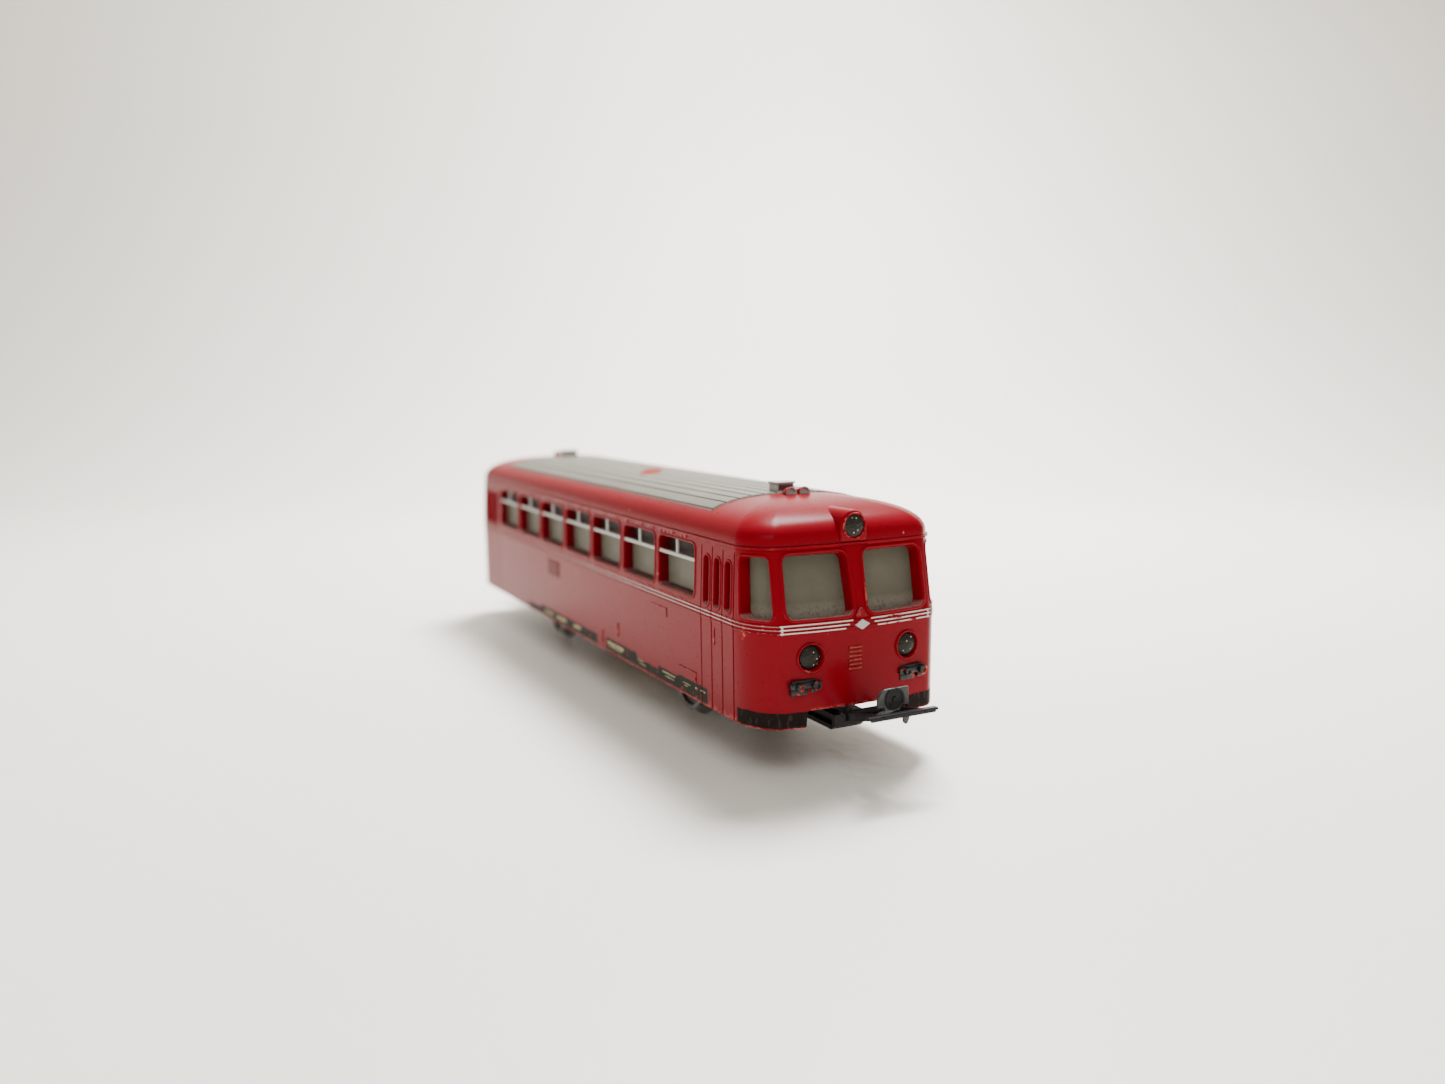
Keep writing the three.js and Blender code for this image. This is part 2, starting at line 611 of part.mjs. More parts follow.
function meshAt(from, angleDeg, distance) {
  const angle = THREE.MathUtils.degToRad(angleDeg);
  return { x: from.x + distance * Math.cos(angle), z: from.z + distance * Math.sin(angle), angle };
}

const CENTRE_SLACK = 0.04;
const axleAt = { x: -AXLE_X, z: AXLE_Z };
const idlerAt = meshAt(axleAt, 50,
  pitchR(AXLE_MODULE, AXLE_GEAR_TEETH + IDLER_SMALL_TEETH) + CENTRE_SLACK);
const reductionAt = meshAt(idlerAt, 20,
  pitchR(AXLE_MODULE, IDLER_TEETH + REDUCTION_SMALL_TEETH) + CENTRE_SLACK);
const motorAt = meshAt(reductionAt, 35,
  pitchR(MOTOR_MODULE, REDUCTION_TEETH + PINION_TEETH) + CENTRE_SLACK);

// Turning of the second gear that puts one of its gaps where the first gear has a tooth.
function meshPhase(phase1, teeth1, teeth2, lineAngle) {
  const place1 = (lineAngle - phase1) * teeth1 / (2 * Math.PI);
  return lineAngle + Math.PI - (0.5 - place1) * 2 * Math.PI / teeth2;
}

// Involute spur gear outline with backlash, relieved below its base circle.
function gearShape(module, teeth, phase, boreR) {
  const r = pitchR(module, teeth);
  const baseR = r * Math.cos(PRESSURE_ANGLE);
  const tipR = r + 0.8 * module;
  const rootR = r - 1.05 * module;
  const inv = (radius) => {
    const a = Math.acos(Math.min(1, baseR / radius));
    return Math.tan(a) - a;
  };
  const halfAtPitch = Math.PI / (2 * teeth) - BACKLASH / (2 * r);
  const halfAt = (radius) => halfAtPitch + inv(r) - inv(Math.max(radius, baseR));
  const flankRs = [rootR, r, tipR];
  const points = [];
  for (let tooth = 0; tooth < teeth; tooth++) {
    const centre = phase + tooth * 2 * Math.PI / teeth;
    for (const radius of flankRs) points.push([radius, centre - halfAt(radius)]);
    for (const radius of [...flankRs].reverse()) points.push([radius, centre + halfAt(radius)]);
  }
  const shape = polygon(points.map(([radius, angle]) =>
    [radius * Math.cos(angle), radius * Math.sin(angle)]));
  const hole = new THREE.Path();
  hole.absarc(0, 0, boreR, 0, 2 * Math.PI, true);
  shape.holes.push(hole);
  return shape;
}

function gear(module, teeth, phase, boreR, y0, y1, at) {
  const g = new THREE.ExtrudeGeometry(gearShape(module, teeth, phase, boreR),
    { depth: y1 - y0, bevelEnabled: false, curveSegments: 6 });
  return solid(g.rotateX(Math.PI / 2).translate(at.x, y1, at.z));
}

// ---- motor ----
const MOTOR_BORE_R = 6.9;
const ARMATURE_R = 6.4;
const MOTOR_LEGS = [[-6, 6.6], [-6, -6.6], [10.2, 7], [10.2, -7]];

function stator() {
  const block = box(-9, 15, -6, 0, -8, 8);
  const bore = rod("y", MOTOR_BORE_R, -10, 5, [0, 0], 32);
  const gap = box(-12, 9, -10, 5, -2.2, 2.2);
  const window = box(8.2, 11.8, -10, 5, -6.2, 6.2);
  const chamfers = [-1, 1].map((s) => box(-12, -7, -10, 5, Math.min(s * 5, s * 12),
    Math.max(s * 5, s * 12)));
  return cut(block, bore, gap, window, ...chamfers).translate([motorAt.x, 0, motorAt.z]);
}

function fieldCoil() {
  const ring1 = box(10, 16.8, -7.6, 1.4, -5.6, 5.6);
  const hole = box(11.6, 15.2, -6.2, 0.2, -7, 7);
  return cut(ring1, hole).translate([motorAt.x, 0, motorAt.z]);
}

function armatureCore() {
  const core = rod("y", ARMATURE_R, -6, 0.2, [0, 0], 30);
  const slots = [0, 120, 240].map((angle) => join(box(4.4, 8, -8, 2, -0.8, 0.8),
    rod("y", 1.9, -8, 2, [4, 0], 12)).rotate([0, angle, 0]));
  return cut(core, ...slots, rod("y", SHAFT_BORE_R, -10, 10, [0, 0], 14))
    .translate([motorAt.x, 0, motorAt.z]);
}

function commutator() {
  const drum = rod("y", 2.5, -10.2, -7.6, [0, 0], 24);
  const slots = [60, 180, 300].map((a) => box(2.2, 3, -11, -7, -0.15, 0.15).rotate([0, a, 0]));
  return cut(drum, ...slots, rod("y", SHAFT_BORE_R, -12, 0, [0, 0], 14)).translate([motorAt.x, 0, motorAt.z]);
}

function brush(side) {
  return box(Math.min(side * 2.75, side * 7.4), Math.max(side * 2.75, side * 7.4), -9.7, -8.1, -0.8, 0.8)
    .translate([motorAt.x, 0, motorAt.z]);
}

function brushPlate() {
  const plate = alongY(roundedRect(-8.6, 12, -7.8, 7.8, 2.5), -12, -11);
  const sleeves = [-1, 1].map((s) => cut(
    box(Math.min(s * 3.6, s * 8), Math.max(s * 3.6, s * 8), -11.2, -7.4, -1.5, 1.5),
    box(-9, 9, -9.8, -8, -0.9, 0.9)));
  const legs = MOTOR_LEGS.map((c) =>
    rod("y", 0.7, -11.5, -6.15, c, 10));
  return cut(join(plate, ...sleeves, ...legs), rod("y", 0.85, -13, -10, [0, 0], 14))
    .translate([motorAt.x, 0, motorAt.z]);
}

// ---- wheels ----
function wheelProfile(grooved) {
  const tread = grooved
    ? [[TREAD_R + 0.05, 8.1], [TREAD_R - 0.3, 8.1], [TREAD_R - 0.3, 9.1], [TREAD_R, 9.1]]
    : [[TREAD_R + 0.05, 8.1]];
  return [[AXLE_R + BORE_GAP, WHEEL_BACK_Y], [FLANGE_R - 0.15, WHEEL_BACK_Y], [FLANGE_R, 7.2],
    [FLANGE_R - 0.1, 7.5], [TREAD_R + 0.35, 7.8], ...tread, [TREAD_R, WHEEL_FACE_Y],
    [TREAD_R - 0.7, WHEEL_FACE_Y], [TREAD_R - 1, 8.9], [2.4, 8.9], [2.2, WHEEL_FACE_Y + 0.1],
    [AXLE_R + BORE_GAP, WHEEL_FACE_Y + 0.1], [AXLE_R + BORE_GAP, WHEEL_BACK_Y]];
}

function wheel(end, side) {
  const left = turned("y", wheelProfile(end < 0), 26);
  const placed = side > 0 ? left : left.rotate([180, 0, 0]);
  return placed.translate([end * AXLE_X, 0, AXLE_Z]);
}

function tyre(side) {
  const ringProfile = [[TREAD_R - 0.26, 8.16], [TREAD_R + 0.02, 8.16], [TREAD_R + 0.02, 9.04],
    [TREAD_R - 0.26, 9.04], [TREAD_R - 0.26, 8.16]];
  const left = turned("y", ringProfile, 26);
  const placed = side > 0 ? left : left.rotate([180, 0, 0]);
  return placed.translate([-AXLE_X, 0, AXLE_Z]);
}

function axle(end) {
  const half = WHEEL_FACE_Y + 0.3;
  const profile = [[0, -half], [0.7, -half], [AXLE_R, -half + 0.3], [AXLE_R, half - 0.3], [0.7, half],
    [0, half]];
  return turned("y", profile, 16).translate([end * AXLE_X, 0, AXLE_Z]);
}

// ---- pickup ----
const SHOE_HALF_LENGTH = 21;

function pickupBase() {
  return cut(box(-14, 14, -4.2, 4.2, 8.5, FLOOR_Z - 0.1), rod("z", 1, 8, 9.1, [9, 0], 12),
    rod("z", 1, 8, 9.1, [-9, 0], 12));
}

function pickupSpring() {
  const t = 0.3;
  const leaf = polygon([[-3, 8.4], [-3, 8.4 - t], [-14, 1.7], [-17, 1.7], [-17, 1.7 + t],
    [-14.2, 1.7 + t], [-3.4, 8.4]]);
  const arm = alongY(leaf, -1.2, 1.2);
  const bridge = box(-3.2, 3.2, -1.2, 1.2, 8.4 - t, 8.4);
  return join(bridge, arm, turnedRound(arm));
}

function pickupShoe() {
  const t = 0.45;
  const profile = polygon([[-SHOE_HALF_LENGTH, 3.1], [-SHOE_HALF_LENGTH + 3.4, 0.9],
    [SHOE_HALF_LENGTH - 3.4, 0.9], [SHOE_HALF_LENGTH, 3.1], [SHOE_HALF_LENGTH - 0.3, 3.1 + t],
    [SHOE_HALF_LENGTH - 3.6, 0.9 + t], [-SHOE_HALF_LENGTH + 3.6, 0.9 + t],
    [-SHOE_HALF_LENGTH + 0.3, 3.1 + t]]);
  return alongY(profile, -2, 2);
}

// ---- couplers ----
function couplerShank() {
  const t = SHANK_THICK;
  const z = SHANK_Z;
  const strip = polygon([[PIVOT_X, z], [76.2, z], [HOOK_X + 0.3, 11.8], [HOOK_X + 0.3, 12.4], [HOOK_X, 12.3],
    [76, z + t], [PIVOT_X, z + t]]);
  const eye = rod("z", 2, z, z + t, [PIVOT_X, 0]);
  const barrel = rod("y", 0.8, -3, 3, [BOW_HINGE_X, BOW_HINGE_Z], 12);
  const hook = new THREE.Shape();
  hook.moveTo(-1.3, 11.6);
  hook.lineTo(1.3, 11.6);
  hook.lineTo(1.3, 12.3);
  hook.lineTo(2.8, 12.3);
  hook.lineTo(2.8, 14.9);
  hook.lineTo(-1.2, 14.9);
  hook.quadraticCurveTo(-2.5, 14.8, -2.5, 13.3);
  hook.lineTo(-2.5, 12.3);
  hook.lineTo(-1.3, 12.3);
  const plate = alongX(hook, HOOK_X, HOOK_X + t);
  const disc = rod("x", 1.6, HOOK_X + t - 0.1, HOOK_X + t + 0.25, [0.3, 13.3]);
  const slot = box(HOOK_X - 1, HOOK_X + 2, -0.1, 0.7, 12.6, 13.9);
  return cut(join(alongY(strip, -1.5, 1.5), eye, barrel, plate, disc), slot,
    rod("z", 0.95, 5, 12, [PIVOT_X, 0], 12),
    rod("y", 0.5, -5, 5, [BOW_HINGE_X, BOW_HINGE_Z], 14));
}

function couplerBow() {
  const arm = polygon([[BOW_HINGE_X - 0.3, BOW_HINGE_Z - 0.7], [BOW_HINGE_X + 0.7, BOW_HINGE_Z - 0.6],
    [BOW_TIP_X - 0.6, 11.2], [BOW_TIP_X, 11.65], [BOW_TIP_X, 12.05], [BOW_TIP_X - 1, 12.05],
    [BOW_HINGE_X, BOW_HINGE_Z + 0.7], [BOW_HINGE_X - 0.7, BOW_HINGE_Z + 0.3]]);
  const arms = [-1, 1].map((s) => alongY(arm, Math.min(s * 3.3, s * 3.8), Math.max(s * 3.3, s * 3.8)));
  const bar = box(BOW_TIP_X - 1, BOW_TIP_X, -BOW_HALF_WIDTH, BOW_HALF_WIDTH, 11.65, 12.05);
  const tongue = box(BOW_TIP_X - 0.9, BOW_TIP_X - 0.4, 0.2, 1.2, 10.2, 11.8);
  return cut(join(...arms, bar, tongue), rod("y", 0.5, -5, 5, [BOW_HINGE_X, BOW_HINGE_Z], 14));
}

function couplerPin() {
  const half = 4.2;
  const profile = [[0, -half], [0.75, -half], [0.75, -3.9], [0.44, -3.9], [0.44, 3.9], [0.75, 3.9],
    [0.75, half], [0, half]];
  return turned("y", profile, 10).translate([BOW_HINGE_X, 0, BOW_HINGE_Z]);
}

function pivotScrew() {
  const profile = [[0, NOSE_Z - 0.5], [1.5, NOSE_Z - 0.5], [1.6, NOSE_Z - 0.3], [1.6, NOSE_Z + 0.6],
    [0.85, NOSE_Z + 0.6], [0.85, 10.8], [0, 10.8]];
  const slot = box(-2, 2, -0.2, 0.2, NOSE_Z - 1, NOSE_Z - 0.1);
  return cut(turned("z", profile, 12), slot).translate([PIVOT_X, 0, 0]);
}

function bodyScrew(x, y) {
  const seat = FLOOR_Z - 0.1;
  const profile = [[0, 8.9], [SCREW_HEAD_R - 0.2, 8.9], [SCREW_HEAD_R, 9.1], [SCREW_HEAD_R, seat],
    [SCREW_R, seat], [SCREW_R, 16.4], [0, 16.6]];
  return cut(turned("z", profile, 10), box(-2, 2, -0.18, 0.18, 8, 9.25)).translate([x, y, 0]);
}

// ---- chassis as one casting ----
function chassisFrame() {
  const driven = cheek(-AXLE_X, -4, -2.8);
  const trailing = [cheek(AXLE_X, -4, -2.8), cheek(AXLE_X, 2.8, 4)];
  const nose = noseBlock();
  const posts = MOTOR_LEGS.map(([x, z]) =>
    rod("y", 1, 0.15, WALL_Y0 + 0.2, [motorAt.x + x, motorAt.z + z], 12));
  const frame = join(floorPlate(), gearWall(), driven, ...trailing, nose, turnedRound(nose), ...posts);
  const pivotHoles = [1, -1].flatMap((s) => [
    rod("z", 0.95, 0, 20, [s * PIVOT_X, 0], 16),
    rod("z", 1.75, 0, NOSE_Z + 0.75, [s * PIVOT_X, 0], 18)]);
  return cut(frame, axleHole(AXLE_X), axleHole(-AXLE_X), ...pivotHoles,
    rod("y", SHAFT_BORE_R, 0, 5, [motorAt.x, motorAt.z], 14),
    rod("y", 0.75, 0, 5, [idlerAt.x, idlerAt.z], 14),
    rod("y", 0.75, 0, 5, [reductionAt.x, reductionAt.z], 14));
}

// ---- assembly ----
add("body_shell", bodyShell(), RED);
add("roof_panel", roofPanel(), SILVER_GREY);
add("side_glazing_left", sideGlazing(1), FROSTED);
add("side_glazing_right", sideGlazing(-1), FROSTED);
add("cab_glazing_front", cabGlazing(), FROSTED);
add("cab_glazing_rear", turnedRound(cabGlazing()), FROSTED);
add("chassis_frame", chassisFrame(), BLACK);

for (const [end, turn] of [["front", (p) => p], ["rear", turnedRound]]) {
  add(`roof_vent_${end}`, turn(roofVent()), SILVER_GREY);
  add(`horn_left_${end}`, turn(horn(HORN_Y)), RED);
  add(`horn_right_${end}`, turn(horn(-HORN_Y)), RED);
  add(`headlight_left_${end}`, turn(lensShape(72.9, HEADLIGHT_Y, HEADLIGHT_Z)), LENS);
  add(`headlight_right_${end}`, turn(lensShape(72.9, -HEADLIGHT_Y, HEADLIGHT_Z)), LENS);
  add(`top_lamp_${end}`, turn(lensShape(TOP_LAMP_FACE_X - 0.3, 0, TOP_LAMP_Z)), LENS);
  add(`lamp_bulb_${end}`, turn(bulb()), NYLON);
  add(`lamp_holder_${end}`, turn(bulbHolder()), BRASS);
  add(`coupler_shank_${end}`, turn(couplerShank()), DARK_STEEL);
  add(`coupler_bow_${end}`, turn(couplerBow()), DARK_STEEL);
  add(`coupler_pin_${end}`, turn(couplerPin()), STEEL);
  add(`coupler_pivot_screw_${end}`, turn(pivotScrew()), STEEL);
}

screwPlaces.forEach(([x, y]) => {
  const name = `body_screw_${x > 0 ? "front" : "rear"}_${y > 0 ? "left" : "right"}`;
  add(name, bodyScrew(x, y), STEEL);
});

for (const [name, end] of [["front", 1], ["rear", -1]]) {
  add(`axle_${name}`, axle(end), STEEL);
  add(`wheel_${name}_left`, wheel(end, 1), DARK_STEEL);
  add(`wheel_${name}_right`, wheel(end, -1), DARK_STEEL);
}
add("traction_tyre_left", tyre(1), RUBBER);
add("traction_tyre_right", tyre(-1), RUBBER);

// ---- gear train, meshed at rest ----
const [planeA, planeB, planeC] = GEAR_PLANES_Y;
const axlePhase = 0;
const idlerSmallPhase = meshPhase(axlePhase, AXLE_GEAR_TEETH, IDLER_SMALL_TEETH, idlerAt.angle);
const idlerPhase = 0;
const reductionSmallPhase = meshPhase(idlerPhase, IDLER_TEETH, REDUCTION_SMALL_TEETH,
  reductionAt.angle);
const reductionPhase = 0;
const pinionPhase = meshPhase(reductionPhase, REDUCTION_TEETH, PINION_TEETH, motorAt.angle);
const PIN_BORE_R = 0.78;

add("axle_gear", gear(AXLE_MODULE, AXLE_GEAR_TEETH, axlePhase, AXLE_R + BORE_GAP,
  planeA, planeA + GEAR_WIDTH, axleAt), BRASS);
add("idler_gear", join(
  gear(AXLE_MODULE, IDLER_SMALL_TEETH, idlerSmallPhase, PIN_BORE_R, planeA, planeB, idlerAt),
  gear(AXLE_MODULE, IDLER_TEETH, idlerPhase, PIN_BORE_R, planeB, planeB + GEAR_WIDTH, idlerAt)), NYLON);
add("reduction_gear", join(
  gear(AXLE_MODULE, REDUCTION_SMALL_TEETH, reductionSmallPhase, PIN_BORE_R, planeB, planeC,
    reductionAt),
  gear(MOTOR_MODULE, REDUCTION_TEETH, reductionPhase, PIN_BORE_R, planeC, planeC + GEAR_WIDTH,
    reductionAt)), NYLON);
add("motor_pinion", gear(MOTOR_MODULE, PINION_TEETH, pinionPhase, SHAFT_BORE_R, planeC - 0.1,
  planeC + GEAR_WIDTH + 0.1, motorAt), BRASS);
add("idler_gear_pin", rod("y", 0.7, WALL_Y0, 6.8, [idlerAt.x, idlerAt.z], 14), STEEL);
add("reduction_gear_pin", rod("y", 0.7, WALL_Y0, 6.8, [reductionAt.x, reductionAt.z], 14), STEEL);

add("motor_field_magnet", stator(), STEEL);
add("field_coil", fieldCoil(), COPPER);
add("armature_core", armatureCore(), STEEL);
add("armature_shaft", rod("y", SHAFT_R, -12.3, 6.7, [motorAt.x, motorAt.z], 14), STEEL);
add("commutator", commutator(), COPPER);
add("brush_plate", brushPlate(), BROWN);
add("brush_front", brush(1), DARK_STEEL);
add("brush_rear", brush(-1), DARK_STEEL);

add("pickup_base", pickupBase(), BROWN);
add("pickup_spring", pickupSpring(), BRASS);
add("pickup_shoe", pickupShoe(), STEEL);

export default railbus;
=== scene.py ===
"""A worn H0 railbus on a pale floor: fine shell, glazing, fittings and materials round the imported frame."""

import functools
import math

import bmesh
import bpy
import numpy as np
from mathutils import Matrix, Vector
from mathutils.geometry import delaunay_2d_cdt


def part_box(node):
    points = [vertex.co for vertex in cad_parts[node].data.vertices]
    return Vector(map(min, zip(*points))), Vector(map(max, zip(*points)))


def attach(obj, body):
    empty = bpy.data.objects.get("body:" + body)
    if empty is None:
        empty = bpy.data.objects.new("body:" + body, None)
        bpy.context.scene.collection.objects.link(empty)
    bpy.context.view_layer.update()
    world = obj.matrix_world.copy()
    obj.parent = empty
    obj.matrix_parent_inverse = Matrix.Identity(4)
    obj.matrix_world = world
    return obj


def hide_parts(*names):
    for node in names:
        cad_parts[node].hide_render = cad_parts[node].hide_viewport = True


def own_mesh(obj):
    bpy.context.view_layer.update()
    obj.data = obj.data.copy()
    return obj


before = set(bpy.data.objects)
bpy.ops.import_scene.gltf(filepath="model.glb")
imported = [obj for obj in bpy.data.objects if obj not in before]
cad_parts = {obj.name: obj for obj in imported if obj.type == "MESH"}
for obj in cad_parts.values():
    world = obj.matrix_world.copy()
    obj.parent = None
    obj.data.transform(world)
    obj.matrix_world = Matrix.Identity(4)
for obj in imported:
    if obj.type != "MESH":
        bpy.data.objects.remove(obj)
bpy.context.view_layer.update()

MM = 0.001

# ---- camera: direction it looks from, place and focus in millimetres ----
AZIMUTH = math.radians(62.52)
ELEVATION = math.radians(8.19)
ROLL = math.radians(-0.43)
CAMERA_PLACE = (207.88, -92.83, 58.39)
FOCUS_PLACE = (68, -12, 20)
SENSOR_WIDTH = 36
FOCAL_LENGTH = 28


def mm_box(node):
    lo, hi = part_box(node)
    return np.array(lo) / MM, np.array(hi) / MM


def mm_centre(node):
    lo, hi = mm_box(node)
    return (lo + hi) / 2


# ---- body dimensions, in millimetres ----
PANEL_X = mm_box("roof_panel")[1][0]
PANEL_Y = mm_box("roof_panel")[1][1]
SIDE_Y = 17.0
CORNER_X = 65.2
CREASE_X = 72.5
CREASE_Y = 13.2
FRONT_X = 73.7
WALL = 2.0
SKIRT_Z = mm_box("body_shell")[0][2]
APRON_Z = SKIRT_Z + 2.5
APRON_Y = 9.1
BELT_Z = 23.3
GUTTER_Z = 34.3
GUTTER_LINE_Z = GUTTER_Z + 0.15
DOOR_TOP_Z = 33.7
ROOF_START_Z = 34.9
ROOF_TOP_Z = mm_box("roof_panel")[1][2]
ROOF_POWER = 2.4
CORNER_LENGTH = 8.8
FRONT_LENGTH = 13.3
QUARTER = CORNER_X + CORNER_LENGTH + FRONT_LENGTH
GIRTH = 4 * QUARTER
WINDOW_PITCH = 15.17
WINDOW_COUNT = 7
WINDOW_X = [(i - (WINDOW_COUNT - 1) / 2) * WINDOW_PITCH for i in range(WINDOW_COUNT)]
WINDOW_HALF = 6.7
WINDOW_Z = (24.75, 33.15)
LIGHT_FOOT_Z = 24.3
CORNER_WINDOW_TOP_Z = 33.2
SEAM = WINDOW_PITCH / 2
TRIM_Z = (23.5, 22.95, 22.4)
TRIM_INNER_Y = (1.6, 2.2, 2.8)
DOOR_GROOVES = (54.6, 58.15, 61.65, 65.2)
DOOR_SLOTS = (56.4, 59.9, 63.4)
DOOR_SLOT_HALF = 0.9
DOOR_SLOT_TOP_Z = 32.0
SCREEN = ((1.3, 24.35), (12.1, 24.35), (12.0, 33.4), (1.5, 33.4))
LAMP_HOLE_R = 1.9
PLANK_PITCH = 2.3
PLANK_GROOVE = 0.13
PANEL_LIFT = 0.2


# ---- mesh helpers; shade limits in degrees ----
ROUND_SHADE = 32
FLAT_SHADE = 18


def linked(name, data):
    """A new object in the scene."""
    obj = bpy.data.objects.new(name, data)
    bpy.context.scene.collection.objects.link(obj)
    return obj


def new_object(name, verts, faces, materials, face_slots=None, merge=1e-4):
    """A mesh object from points in millimetres, welded, with outward faces."""
    mesh = bpy.data.meshes.new(name)
    mesh.from_pydata([tuple(v) for v in verts], [], [tuple(f) for f in faces])
    for material in materials:
        mesh.materials.append(material)
    if face_slots is not None:
        mesh.polygons.foreach_set("material_index", face_slots)
    bm = bmesh.new()
    bm.from_mesh(mesh)
    bmesh.ops.remove_doubles(bm, verts=bm.verts, dist=merge)
    bmesh.ops.recalc_face_normals(bm, faces=bm.faces)
    bm.to_mesh(mesh)
    bm.free()
    mesh.transform(Matrix.Scale(MM, 4))
    return shade(linked(name, mesh))


def shade(obj, angle=ROUND_SHADE):
    """Smooth shading, with sharp edges where faces meet at more than the angle."""
    mesh = obj.data
    mesh.polygons.foreach_set("use_smooth", [True] * len(mesh.polygons))
    bm = bmesh.new()
    bm.from_mesh(mesh)
    for edge in bm.edges:
        edge.smooth = len(edge.link_faces) == 2 and edge.calc_face_angle(0) < math.radians(angle)
    bm.to_mesh(mesh)
    bm.free()
    return obj


def bevel(obj, width, segments=2, angle=35):
    modifier = obj.modifiers.new("bevel", "BEVEL")
    modifier.width = width * MM
    modifier.segments = segments
    modifier.limit_method = "ANGLE"
    modifier.angle_limit = math.radians(angle)


def apply_modifiers(obj, angle):
    bpy.context.view_layer.update()
    graph = bpy.context.evaluated_depsgraph_get()
    mesh = bpy.data.meshes.new_from_object(obj.evaluated_get(graph))
    obj.modifiers.clear()
    obj.data = mesh
    return shade(obj, angle)


def joined(name, objects):
    """One object from several, keeping each one's materials."""
    first = objects[0]
    with bpy.context.temp_override(active_object=first, selected_editable_objects=objects,
                                   object=first, selected_objects=objects):
        bpy.ops.object.join()
    first.name = name
    return first


def turned(obj):
    """Turns a piece half round about the vertical axis, for the rear end."""
    obj.data.transform(Matrix.Rotation(math.pi, 4, "Z"))
    return obj


def moved(obj, place):
    obj.data.transform(Matrix.Translation(Vector(place) * MM))
    return obj


def stand_in(obj, node, body):
    """Shows the fine piece instead of the frame's node, on the node's body."""
    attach(obj, body)
    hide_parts(node)


def strip(loops, closed=True):
    """Faces between neighbouring loops of points; closed loops meet their own start."""
    n = len(loops[0])
    pairs = [(i, (i + 1) % n) for i in range(n if closed else n - 1)]
    return [(k * n + i, k * n + j, (k + 1) * n + j, (k + 1) * n + i)
            for k in range(len(loops) - 1) for i, j in pairs]


def capped(name, rings, materials):
    """A closed body through a row of closed rings, with a flat cap at each end."""
    n = len(rings[0])
    last = (len(rings) - 1) * n
    faces = [tuple(range(n)), tuple(range(last, last + n)), *strip(rings)]
    return new_object(name, np.concatenate(rings), faces, materials)


def extruded(name, outline, axis, start, end, material, width=0.12, segments=2):
    """A flat outline pushed along an axis, with rounded edges. Outline points are the other two
    coordinates in x, y, z order."""
    rings = [[{"x": (level, a, b), "y": (a, level, b), "z": (a, b, level)}[axis] for a, b in outline]
             for level in (start, end)]
    obj = capped(name, rings, [material])
    bevel(obj, width, segments)
    return apply_modifiers(obj, FLAT_SHADE)


def block(name, lo, hi, material, width=0.12, segments=2):
    (x0, y0, z0), (x1, y1, z1) = lo, hi
    outline = [(y0, z0), (y1, z0), (y1, z1), (y0, z1)]
    return extruded(name, outline, "x", x0, x1, material, width, segments)


def lathe(name, profile, axis, centre, materials, slots=None, segments=64):
    """A turned piece: profile points are [radius, place along the axis], closed or on the axis."""
    rings = []
    for angle in np.linspace(0, 2 * math.pi, segments + 1):
        c, s = math.cos(angle), math.sin(angle)
        places = [{"x": (a, r * c, r * s), "y": (r * c, a, r * s), "z": (r * c, r * s, a)}[axis]
                  for r, a in profile]
        rings.append(np.array(places, float) + centre)
    face_slots = list(slots or [0] * (len(profile) - 1)) * segments
    return new_object(name, np.concatenate(rings), strip(rings, closed=False), materials, face_slots)


def rounded(points, radius, grow=0.0, steps=6, spacing=1.2):
    """A convex outline with round corners, grown outwards. Point count doesn't depend on grow."""
    p = np.array(points, float)
    after = np.roll(p, -1, 0)
    if (p[:, 0] * after[:, 1] - after[:, 0] * p[:, 1]).sum() < 0:
        p = p[::-1]
        after = np.roll(p, -1, 0)
    n = len(p)
    edges = (after - p) / np.linalg.norm(after - p, axis=1, keepdims=True)
    normals = np.stack([edges[:, 1], -edges[:, 0]], 1)
    centres = [np.linalg.solve(normals[[i - 1, i]], (normals[[i - 1, i]] * p[i]).sum(1) - radius)
               for i in range(n)]
    out = []
    for i in range(n):
        a0, a1 = (math.atan2(normals[k][1], normals[k][0]) for k in (i - 1, i))
        a1 += 2 * math.pi * (a1 < a0)
        for a in np.linspace(a0, a1, steps + 1):
            out.append(centres[i] + (radius + grow) * np.array([math.cos(a), math.sin(a)]))
        j = (i + 1) % n
        count = int(np.linalg.norm(centres[j] - centres[i]) / spacing)
        for k in range(1, count):
            out.append(centres[i] + (centres[j] - centres[i]) * k / count + (radius + grow) * normals[i])
    return np.array(out)


def circle(centre, radius, grow=0.0, count=40):
    a = np.arange(count) * 2 * math.pi / count
    r = radius + grow
    return np.stack([centre[0] + r * np.cos(a), centre[1] + r * np.sin(a)], 1)


def inside(points, outline):
    """Which points lie inside a closed outline."""
    x, y = points[:, 0], points[:, 1]
    result = np.zeros(len(points), bool)
    for (xi, yi), (xj, yj) in zip(outline, np.roll(outline, 1, 0)):
        if abs(yj - yi) > 1e-12:
            result ^= ((yi > y) != (yj > y)) & (x < (xj - xi) * (y - yi) / (yj - yi) + xi)
    return result


